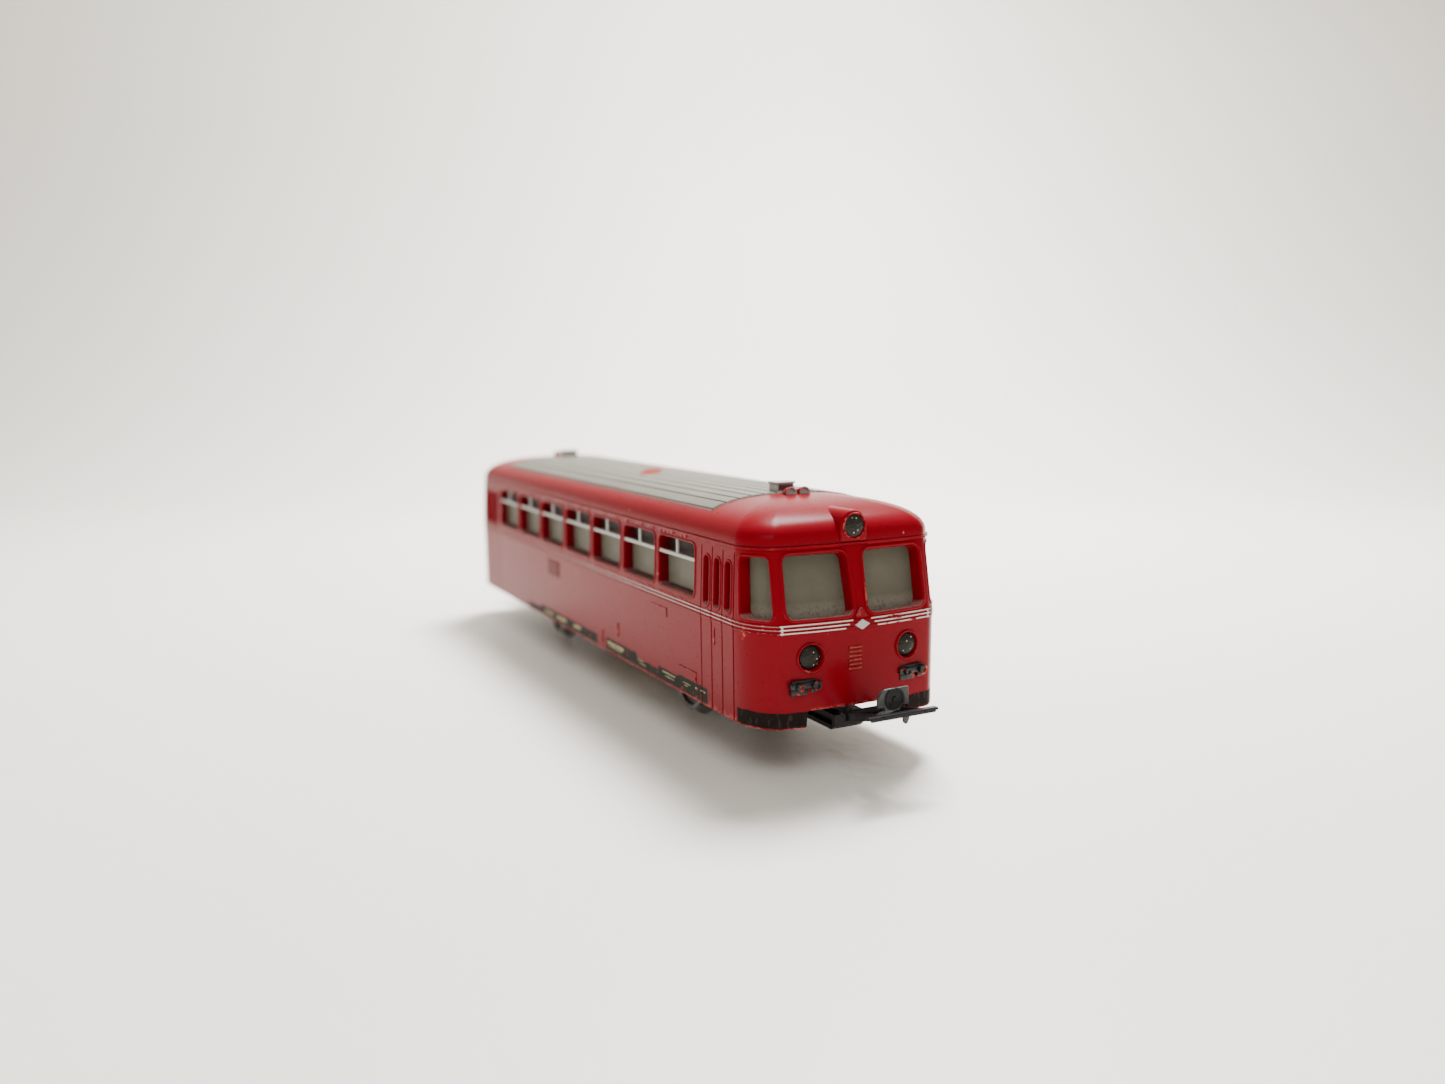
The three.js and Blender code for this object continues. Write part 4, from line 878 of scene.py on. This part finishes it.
STEEL = plain("blackened_steel_fine", (0.011, 0.011, 0.012), 0.3, 0.0, (0.006, 0.006, 0.007), 3.0, 0.2,
              0.12)
PLATE = plain("hook_plate_steel", (0.042, 0.045, 0.044), 0.38, 0.2, (0.016, 0.017, 0.017), 1.2, 0.25,
              0.4)
BRIGHT = plain("bright_steel_fine", (0.36, 0.36, 0.36), 0.3, 1.0, (0.2, 0.195, 0.19), 3.0, 0.15)
WHEEL = plain("wheel_black_fine", (0.015, 0.015, 0.016), 0.4, 0.2, (0.008, 0.008, 0.008), 2.0, 0.2)
BRASS = plain("brass_fine", (0.66, 0.46, 0.18), 0.32, 1.0, (0.36, 0.24, 0.09), 2.5, 0.15)
VENT = plain("vent_brown", (0.085, 0.03, 0.028), 0.4, 0.0, (0.04, 0.018, 0.016), 2.0, 0.2)
COPPER = plain("copper_fine", (0.55, 0.22, 0.09), 0.38, 0.9, (0.25, 0.09, 0.04), 4.0, 0.3)
BOARD = plain("board_fine", (0.16, 0.075, 0.035), 0.5, 0.0, (0.08, 0.035, 0.02), 1.5, 0.3)
NYLON = plain("nylon_fine", (0.74, 0.69, 0.56), 0.45, 0.0, (0.5, 0.45, 0.34), 1.5, 0.15)
CARBON = plain("carbon_fine", (0.03, 0.03, 0.032), 0.6, 0.0, None, 4.0, 0.3)
RUBBER = plain("rubber_fine", (0.022, 0.021, 0.02), 0.75, 0.0, None, 3.0, 0.4)
CASTING = plain("black_casting_fine", (0.006, 0.006, 0.007), 0.24, 0.0, (0.003, 0.003, 0.003), 2.0,
                0.25, 0.12)
RED_PAINT = painted_red()
ROOF_PAINT = roof_material()
GLAZING = glazing_material()
UPPER_PANE_SHADE = dark_inside_shade_material()
BLACK_CHIPPED = chipped_black()
LENS = lens_material()
SILVER_BAR = plain("silver_bar", (0.44, 0.42, 0.40), 0.45, 0.1, (0.3, 0.285, 0.265), 2.0, 0.15)


# ---- fittings moulded on the shell ----
HOUSING_R = 2.3
HOUSING_X = FRONT_X - 2.25


def front_place(y, z):
    """Point of the bare front wall at y and z."""
    return wall_point(np.array([to_s("front", 1, 1, y)]), np.array([z]), detail=False)[0]


def turned_round(obj, name):
    """A turned copy, for the rear end."""
    return turned(linked(name, obj.data.copy()))


def louvre():
    slats = []
    for i in range(6):
        z = 16.1 + i * 0.63
        x = front_place(-1.2, z)[0]
        outline = [(x - 0.5, z), (x + 0.06, z), (x + 0.34, z + 0.2), (x + 0.06, z + 0.34),
                   (x - 0.5, z + 0.34)]
        slats.append(extruded(f"slat_{i}", outline, "y", -2.3, -0.1, RED_PAINT, 0.05))
    return slats


def lamp_housing():
    """Arched housing of the top lamp, running back into the roof."""
    z = mm_centre("top_lamp_front")[2]
    foot = ROOF_START_Z - 0.1
    arch = [(HOUSING_R * math.cos(a), z + HOUSING_R * math.sin(a)) for a in np.linspace(0, math.pi, 25)]
    outline = [(HOUSING_R + 0.05, foot), *arch, (-HOUSING_R - 0.05, foot)]
    return extruded("lamp_housing", outline, "x", 60, HOUSING_X, RED_PAINT, 0.35, 4)


def moulded_bracket(side):
    """Lamp bracket with two round bosses, painted black over red. Boxes: y and z range, how far it
    stands out, rounding."""
    y = side * 9.5
    x = front_place(y, 14.5)[0]
    parts = []
    for name, y0, y1, z0, z1, out, width in (("bar", -2.6, 2.6, 14.2, 15.2, 0.75, 0.25),
                                             ("top", -2.2, 1.9, 15.0, 15.5, 0.45, 0.18),
                                             ("foot", -2.4, 0.4, 13.2, 14.3, 0.5, 0.25),
                                             ("step", 0.9, 2.0, 13.4, 14.4, 0.45, 0.2)):
        parts.append(block(f"bracket_{name}", (x - 0.3, y + y0, z0), (x + out, y + y1, z1),
                           BLACK_CHIPPED, width, 3))
    for dy, r in ((-1.3, 0.62), (1.5, 0.72)):
        profile = [(0, -0.3), (r, -0.3), (r, 1.15), (r - 0.12, 1.3), (r * 0.55, 1.3), (r * 0.45, 1.1),
                   (0, 1.1)]
        parts.append(lathe("bracket_boss", profile, "x", (x, y + dy, 14.6), [BLACK_CHIPPED], None, 24))
    return parts


def side_marks(side):
    """Small hatches and ribs moulded on the side, as x and z ranges."""
    lo, hi = sorted((side * (SIDE_Y - 0.5), side * (SIDE_Y + 0.1)))
    return [block("mark", (x0, lo, z0), (x1, hi, z1), RED_PAINT, 0.05)
            for x0, x1, z0, z1 in ((-18.1, -11.6, 18.1, 21.3), (35.9, 41.9, 20.95, 21.2),
                                   (41.6, 41.9, 19.7, 21.2), (20, 20.5, 12.1, 14.6),
                                   (12, 12.5, 9.4, 11.8), (46.4, 52.6, 12.5, 12.7),
                                   (52.4, 52.6, 11, 12.7), (58.9, 59.2, 18.6, 21.2))]


def emblem():
    """A plain silver lozenge at the middle of the belt."""
    x = front_place(0, 22.75)[0]
    outline = [(-1.35, 22.75), (0, 21.95), (1.35, 22.75), (0, 23.55)]
    return extruded("emblem", outline, "x", x - 0.4, x + 0.22, SILVER_BAR, 0.08)


def gusset():
    """Small triangle at the foot of the pillar between the windscreens."""
    x = front_place(0, 24.3)[0]
    outline = [(-1.1, 23.8), (1.1, 23.8), (0.15, 25.2), (-0.15, 25.2)]
    return extruded("gusset", outline, "x", x - 0.6, x + 0.3, RED_PAINT, 0.12)


def build_shell():
    ends = [lamp_housing(), *louvre(), *moulded_bracket(1), *moulded_bracket(-1), gusset(), emblem()]
    rear = [turned_round(obj, obj.name + "_rear") for obj in ends]
    parts = [shell_mesh(RED_PAINT), *ends, *rear, *side_marks(1), *side_marks(-1)]
    stand_in(joined("body_shell_fine", parts), "body_shell", "chassis")


# ---- roof panel ----
def roof_panel():
    """Planked panel lying on the shell roof; its grooves stay above the shell's surface."""
    top = [(-PANEL_Y, -0.12), (-PANEL_Y + 0.1, 0), (PANEL_Y - 0.1, 0), (PANEL_Y, -0.12)]
    for i in range(-5, 6):
        y = i * PLANK_PITCH
        top += [(y - 0.2, 0), (y - 0.12, -PLANK_GROOVE), (y + 0.12, -PLANK_GROOVE), (y + 0.2, 0)]
    top += [(y, 0.03) for y in np.arange(-5.5, 6, 1) * PLANK_PITCH]
    top.sort()
    inner = PANEL_X - 0.12
    rings = []
    for x in [-PANEL_X, -inner, *np.linspace(1 - PANEL_X, PANEL_X - 1, 90), inner, PANEL_X]:
        drop = -0.12 if abs(x) > PANEL_X - 0.01 else 0
        ring = [(x, y, roof_height(y) + PANEL_LIFT + h + drop) for y, h in top]
        rings.append(ring + [(x, y, roof_height(y) - 0.35) for y, _ in top[::-1]])
    stand_in(capped("roof_panel_fine", rings, [ROOF_PAINT]), "roof_panel", "chassis")


def panel_shadow_strip():
    """Narrow dark strip lying round the roof panel: painted shadow standing for the gap between panel and
    roof.
    """
    # painted shadow: a dark red strip where the gap round the panel would lie in shade
    dark = plain("painted_shadow_line", (0.09, 0.003, 0.004), 0.5)
    width, lift = 0.42, 0.03
    x, y = PANEL_X + width, PANEL_Y + width
    outer, inner = (rounded([(-x, -y), (x, -y), (x, y), (-x, y)], 0.3, grow, 3, 1.0)
                    for grow in (0, -width - 0.05))
    loops = [np.stack([ring[:, 0], ring[:, 1], roof_height(ring[:, 1]) + h], 1)
             for ring, h in ((outer, lift), (inner, lift), (inner, -0.3), (outer, -0.3), (outer, lift))]
    obj = new_object("roof_panel_shadow_strip", np.concatenate(loops), strip(loops), [dark])
    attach(obj, "chassis")


# ---- glazing ----
PANE_HALF = 6.6
BAR_Z = 30.6
BAR_DEPTH = (0.67, 0.27)


def side_glazing(side, node):
    """Strip behind the windows: frosted lower panes, near-black upper lights that are painted shade of the
    inside, and silver bars.
    """
    parts = []

    def slab(name, x0, x1, deep, shallow, z0, z1, material, width):
        """A slab between two depths under the side face."""
        lo, hi = sorted((side * (SIDE_Y - deep), side * (SIDE_Y - shallow)))
        parts.append(block(name, (x0, lo, z0), (x1, hi, z1), material, width))

    slab("strip", -PANEL_X, PANEL_X, WALL + 1.3, WALL + 0.35, 23.8, 33.9, GLAZING, 0.1)
    for x in WINDOW_X:
        left, right = x - PANE_HALF, x + PANE_HALF
        slab("lower", left, right, WALL + 0.65, 1.75, 24.85, BAR_Z, GLAZING, 0.3)
        # painted shade: a dark slab standing for the shaded inside behind each upper light
        slab("upper", left, right, WALL + 0.65, 2.0, BAR_Z - 0.1, 33.05, UPPER_PANE_SHADE, 0.1)
        slab("bar", left - 0.12, right + 0.12, *BAR_DEPTH, BAR_Z - 0.32, BAR_Z + 0.26, SILVER_BAR, 0.1)
        slab("mullion", x - 0.27, x + 0.27, *BAR_DEPTH, BAR_Z, 33.17, SILVER_BAR, 0.1)
    stand_in(joined(node + "_fine", parts), node, "chassis")


def cab_glazing(end, node):
    """Curved glazing band behind the doors, corner windows and windscreens."""
    middle = QUARTER if end > 0 else 3 * QUARTER
    reach = QUARTER - (PANEL_X + 0.9)
    z = np.linspace(23.9, 33.8, 12)
    rings = []
    for s in np.linspace(middle - reach, middle + reach, 140):
        outer, inner = (wall_point(np.full_like(z, s), z, -WALL - depth, detail=False)
                        for depth in (0.12, 0.85))
        rings.append(np.concatenate([outer, inner[::-1]]))
    stand_in(capped(node + "_fine", rings, [GLAZING]), node, "chassis")


# ---- lamps and roof fittings ----
def lens(node):
    """Domed lamp lens; the top lamp's has a red ring round it."""
    lo, hi = mm_box(node)
    _, y, z = (lo + hi) / 2
    rear = lo[0] < 0
    top = "top" in node
    face = HOUSING_X - 0.05 if top else max(abs(lo[0]), abs(hi[0])) - 0.45
    dome = [(0, -1.3), (1.72, -1.3), (1.74, -0.2), (1.68, 0.05), (1.45, 0.2), (1.0, 0.36), (0.5, 0.44),
            (0, 0.47)]
    parts = [lathe(node + "_fine", dome, "x", (face, 0, 0), [LENS], None, 48)]
    if top:
        ring = [(1.72, 0.0), (2.0, 0.0), (2.02, 0.2), (1.92, 0.34), (1.8, 0.32), (1.72, 0.2), (1.72, 0.0)]
        parts.append(lathe("lamp_ring", ring, "x", (face - 0.05, 0, 0), [RED_PAINT], None, 48))
    obj = joined(node + "_fine", parts)
    if rear:
        turned(obj)
    stand_in(moved(obj, (0, y, z)), node, "chassis")


def roof_vent(end, node):
    lo, hi = mm_box(node)
    base = lo[2] - 0.2
    near, far = sorted(((hi if end > 0 else lo)[0] - end * depth for depth in (0.4, 0.02)))
    parts = [block("vent_body", (lo[0] + 0.1, lo[1] + 0.15, base), (hi[0] - 0.1, hi[1] - 0.15, hi[2] - 0.35),
                   SILVER_BAR, 0.3, 3),
             block("vent_lid", (lo[0], lo[1], hi[2] - 0.4), hi, SILVER_BAR, 0.18, 3),
             block("vent_panel", (near, -1.3, base + 0.5), (far, 1.3, hi[2] - 0.5), VENT, 0.04)]
    stand_in(joined(node + "_fine", parts), node, "chassis")


def horn(node):
    """Trumpet horn with a silver mouth."""
    lo, hi = mm_box(node)
    length = hi[0] - lo[0]
    mouth = max(abs(lo[0]), abs(hi[0]))
    profile = [(0, -0.35), (0.62, -0.35), (0.82, 0.02), (0.98, 0.05), (1.02, -0.1), (0.98, -0.4), (0.8, -1.1),
               (0.5, -length + 0.3), (0.25, -length), (0, -length)]
    obj = lathe(node + "_fine", profile, "x", (mouth, 0, 0), [SILVER_BAR, RED_PAINT],
                [0, 0, 0, 1, 1, 1, 1, 1, 1], 40)
    if lo[0] < 0:
        turned(obj)
    stand_in(moved(obj, (0, (lo[1] + hi[1]) / 2, ROOF_TOP_Z + 0.2)), node, "chassis")


# ---- couplers ----
PIN_BORE = 0.5
SCREW_BORE = 0.95
BORE_STEP = 0.55
STRIP_THICK = 0.5


def tube(name, axis, centre, bore, outer, start, stop):
    """A short steel tube round a bore."""
    edge = 0.05
    profile = [(bore, start), (outer - edge, start), (outer, start + edge), (outer, stop - edge),
               (outer - edge, stop), (bore, stop), (bore, start)]
    return lathe(name, profile, axis, centre, [STEEL], None, 40)


def shank_parts(pivot_x, pin_x, pin_z, base, hook, top):
    """Strip with an eye for its screw and a barrel for the bow's pin, then the hook plate."""
    flat = base + STRIP_THICK
    back, front, under = pin_x - BORE_STEP, pin_x + BORE_STEP, pin_z - 0.52
    slot = top - 2.6
    outlines = [
        [(pivot_x + 1.2, base), (back, base), (back, flat), (pivot_x + 1.2, flat)],
        [(pin_x - 0.6, base), (pin_x + 0.6, base), (pin_x + 0.6, under), (pin_x - 0.6, under)],
        [(front, base), (pin_x + 1.2, base), (hook + 0.3, slot - STRIP_THICK), (hook + 0.3, slot),
         (hook, slot), (pin_x + 1.0, flat), (front, flat)]]
    parts = [extruded("shank_strip", outline, "y", -1.5, 1.5, STEEL, 0.06) for outline in outlines]
    parts.append(tube("shank_eye", "z", (pivot_x, 0, 0), SCREW_BORE, 2, base, flat))
    parts.append(tube("shank_barrel", "y", (pin_x, 0, pin_z), PIN_BORE, 0.8, -3, 3))
    corner = [(-0.9 - 1.6 * math.sin(t), top - 1.6 + 1.6 * math.cos(t))
              for t in np.linspace(0, math.pi / 2, 8)]
    plate = [(-1.3, top - 3.3), (1.3, top - 3.3), (1.3, slot), (2.8, slot), (2.8, top), *corner,
             (-2.5, slot), (-1.3, slot)]
    parts.append(extruded("hook_plate", plate, "x", hook, hook + 0.5, PLATE, 0.1))
    disc = [(0, 0), (1.65, 0), (1.7, 0.1), (1.62, 0.25), (1.35, 0.27), (1.25, 0.12), (0.5, 0.12),
            (0.42, 0.3), (0, 0.34)]
    parts.append(lathe("hook_disc", disc, "x", (hook + 0.48, 0.3, top - 1.6), [STEEL], None, 40))
    return parts


def bow_parts(pin_x, pin_z, tip):
    """Two arms that turn on the pin, the cross bar and its tongue."""
    arm = [(pin_x + BORE_STEP, pin_z - 0.62), (pin_x + 0.9, pin_z - 0.5), (tip - 0.7, 11.15), (tip, 11.6),
           (tip, 12.0), (tip - 1, 12.02), (pin_x + BORE_STEP, pin_z + 0.74)]
    parts = []
    for inner, outer in ((-3.8, -3.3), (3.3, 3.8)):
        parts.append(extruded("bow_arm", arm, "y", inner, outer, STEEL, 0.08))
        parts.append(tube("bow_knuckle", "y", (pin_x, 0, pin_z), PIN_BORE, 0.78, inner, outer))
    parts.append(block("bow_bar", (tip - 1, -6, 11.65), (tip, 6, 12.05), STEEL, 0.12, 3))
    parts.append(block("bow_lip", (tip - 0.3, -5.6, 11.35), (tip - 0.02, 5.6, 11.8), STEEL, 0.1))
    tongue = [(0.1, 11.8), (0.25, 10.5), (0.6, 10.2), (0.9, 10.3), (1.2, 10.9), (1.25, 11.8)]
    parts.append(extruded("bow_tongue", tongue, "x", tip - 0.8, tip - 0.4, PLATE, 0.1))
    return parts


def coupler(end_name):
    """The shank and the bow that lifts on it, built at the front and turned round for the rear."""
    pin_x, _, pin_z = np.abs(mm_centre(f"coupler_pin_{end_name}"))
    pivot_x = abs(mm_centre(f"coupler_pivot_screw_{end_name}")[0])
    shank_lo, shank_hi = mm_box(f"coupler_shank_{end_name}")
    hook = max(abs(shank_lo[0]), abs(shank_hi[0])) - 0.75
    tip = np.abs(mm_box(f"coupler_bow_{end_name}"))[:, 0].max()
    shank = shank_parts(pivot_x, pin_x, pin_z, shank_lo[2], hook, shank_hi[2])
    bow = bow_parts(pin_x, pin_z, tip)
    for node, body, parts in (("coupler_shank", "coupler", shank), ("coupler_bow", "bow", bow)):
        piece = joined(f"{node}_{end_name}_fine", parts)
        if end_name == "rear":
            turned(piece)
        stand_in(piece, f"{node}_{end_name}", f"{body}_{end_name}")


# ---- wheels ----
def wheel(end_name, side_name):
    """Black disc wheel with a bright tread and flange; the rear ones are grooved for a tyre."""
    node = f"wheel_{end_name}_{side_name}"
    lo, hi = mm_box(node)
    centre = (lo + hi) / 2
    side = 1 if side_name == "left" else -1
    back = min(abs(lo[1]), abs(hi[1]))
    flange = (hi[2] - lo[2]) / 2
    tread = flange - 1.1
    rim = [(tread + 0.06, 1.1), (tread, 1.6)]
    if end_name == "rear":
        rim = [(tread + 0.06, 1.1), (tread - 0.3, 1.1), (tread - 0.3, 2.1), (tread, 2.1)]
    profile = [(1.08, 0), (flange - 0.3, 0), (flange - 0.08, 0.08), (flange, 0.25), (flange - 0.05, 0.45),
               (flange - 0.35, 0.68), (tread + 0.3, 0.85), *rim, (tread - 0.02, 2.42), (tread - 0.1, 2.5),
               (tread - 0.7, 2.5), (tread - 0.8, 2.42), (tread - 1.05, 1.95), (tread - 1.6, 1.8), (2.9, 1.8),
               (2.5, 1.9), (2.3, 2.2), (2.2, 2.58), (1.9, 2.62), (1.08, 2.62), (1.08, 0)]
    slots = [int(min(a[0], b[0]) > tread - 0.75) for a, b in zip(profile, profile[1:])]
    obj = lathe(node + "_fine", profile, "y", (0, 0, 0), [WHEEL, BRIGHT], slots, 72)
    if side < 0:
        obj.data.transform(Matrix.Rotation(math.pi, 4, "X"))
    moved(obj, (centre[0], side * back, centre[2]))
    stand_in(obj, node, f"wheelset_{end_name}")


def tyre(side_name):
    """Rubber ring in the groove of a driven wheel."""
    node = f"traction_tyre_{side_name}"
    lo, hi = mm_box(node)
    _, half, outer = (hi - lo) / 2
    profile = [(outer - 0.28, -half), (outer - 0.06, -half), (outer, -half + 0.08), (outer, half - 0.08),
               (outer - 0.06, half), (outer - 0.28, half), (outer - 0.28, -half)]
    obj = lathe(node + "_fine", profile, "y", (lo + hi) / 2, [RUBBER], None, 72)
    stand_in(obj, node, "wheelset_rear")


# ---- carried-over CAD nodes: edges softened, materials given ----
CAD_LOOKS = {
    "chassis_frame": CASTING, "axle": BRIGHT, "body_screw": BRIGHT, "coupler_pin": STEEL,
    "coupler_pivot_screw": BRIGHT, "lamp_bulb": NYLON, "lamp_holder": BRASS, "axle_gear": BRASS,
    "idler_gear_pin": BRIGHT, "reduction_gear_pin": BRIGHT, "idler_gear": NYLON, "reduction_gear": NYLON,
    "motor_pinion": BRASS, "motor_field_magnet": STEEL, "field_coil": COPPER, "armature_core": STEEL,
    "armature_shaft": BRIGHT, "commutator": COPPER, "brush_plate": BOARD, "brush_front": CARBON,
    "brush_rear": CARBON, "pickup_base": BOARD, "pickup_spring": BRASS, "pickup_shoe": BRIGHT,
}


def dress_cad(node, obj):
    """Rounds a frame node's edges and gives it the look whose name fits it best."""
    names = [n for n in CAD_LOOKS if node.startswith(n)]
    if not names:
        return
    obj.data.materials.clear()
    obj.data.materials.append(CAD_LOOKS[max(names, key=len)])
    weld = obj.modifiers.new("weld", "WELD")
    weld.merge_threshold = 0.002 * MM
    bevel(obj, 0.08, 2, 40)


def dress_all_cad():
    for node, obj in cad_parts.items():
        if not obj.hide_render:
            dress_cad(node, obj)
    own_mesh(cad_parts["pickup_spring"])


# ---- stage, lights and camera ----
def stage():
    """Pale dimpled cloth that sweeps up into a plain wall behind the railbus."""
    m = Sockets("pale_cloth")
    m.set("Base Color", m.mix(m.noise(0.01, 3, 0.5), (0.80, 0.765, 0.69), (0.85, 0.82, 0.75)))
    m.set("Roughness", 0.5)
    m.bump(m.cells(0.42), 0.2, 0.25)
    forward = np.array([-math.sin(AZIMUTH), math.cos(AZIMUTH), 0])
    across = np.array([forward[1], -forward[0], 0])
    bend, start, half_width, height = 260, 520, 3000, 1800
    profile = [(-2500, 0), (start, 0)]
    profile += [(start + bend * math.sin(a), bend - bend * math.cos(a))
                for a in np.linspace(0.08, math.pi / 2, 14)]
    profile.append((start + bend, height))
    foot = np.array([*CAMERA_PLACE[:2], 0])
    rows_of_points = [[foot + forward * along + across * side + (0, 0, z)
                       for side in (-half_width, half_width)] for along, z in profile]
    floor = new_object("floor", np.concatenate(rows_of_points), strip(rows_of_points, closed=False),
                       [m.material])
    world = bpy.data.worlds.new("studio")
    bpy.context.scene.world = world
    world.use_nodes = True
    background = world.node_tree.nodes["Background"]
    background.inputs[0].default_value = (1.0, 0.96, 0.89, 1)
    background.inputs[1].default_value = 0.55


def light(name, place, target, size, power):
    data = bpy.data.lights.new(name, "AREA")
    data.shape = "RECTANGLE"
    data.size, data.size_y = size[0] * MM, size[1] * MM
    data.energy = power
    obj = linked(name, data)
    obj.location = Vector(place) * MM
    direction = (Vector(target) - Vector(place)).normalized()
    obj.rotation_mode = "QUATERNION"
    obj.rotation_quaternion = direction.to_track_quat("-Z", "Y")


def camera():
    data = bpy.data.cameras.new("camera")
    data.sensor_width = SENSOR_WIDTH
    data.lens = FOCAL_LENGTH
    focus = linked("focus", None)
    focus.location = Vector(FOCUS_PLACE) * MM
    data.dof.use_dof = True
    data.dof.focus_object = focus
    data.dof.aperture_fstop = 11
    data.clip_start, data.clip_end = 0.005, 50
    obj = linked("camera", data)
    back = Vector((math.sin(AZIMUTH) * math.cos(ELEVATION), -math.cos(AZIMUTH) * math.cos(ELEVATION),
                   math.sin(ELEVATION)))
    right = Vector((math.cos(AZIMUTH), math.sin(AZIMUTH), 0))
    up = back.cross(right)
    x_axis = right * math.cos(ROLL) + up * math.sin(ROLL)
    y_axis = up * math.cos(ROLL) - right * math.sin(ROLL)
    matrix = Matrix((x_axis, y_axis, back)).transposed().to_4x4()
    matrix.translation = Vector(CAMERA_PLACE) * MM
    obj.matrix_world = matrix
    bpy.context.scene.camera = obj


build_shell()
roof_panel()
panel_shadow_strip()
side_glazing(1, "side_glazing_left")
side_glazing(-1, "side_glazing_right")
cab_glazing(1, "cab_glazing_front")
cab_glazing(-1, "cab_glazing_rear")
for end_sign, end in ((1, "front"), (-1, "rear")):
    for lamp in ("headlight_left", "headlight_right", "top_lamp"):
        lens(f"{lamp}_{end}")
    roof_vent(end_sign, f"roof_vent_{end}")
    horn(f"horn_left_{end}")
    horn(f"horn_right_{end}")
    coupler(end)
    wheel(end, "left")
    wheel(end, "right")
tyre("left")
tyre("right")
dress_all_cad()
stage()
light("key", (-170, 210, 540), (20, 0, 10), (200, 200), 13.5)
light("front_soft", (420, -260, 520), (60, -5, 20), (500, 300), 1.7)
light("backdrop", (-80, 120, 420), (-480, 330, 150), (500, 200), 2.5)
camera()
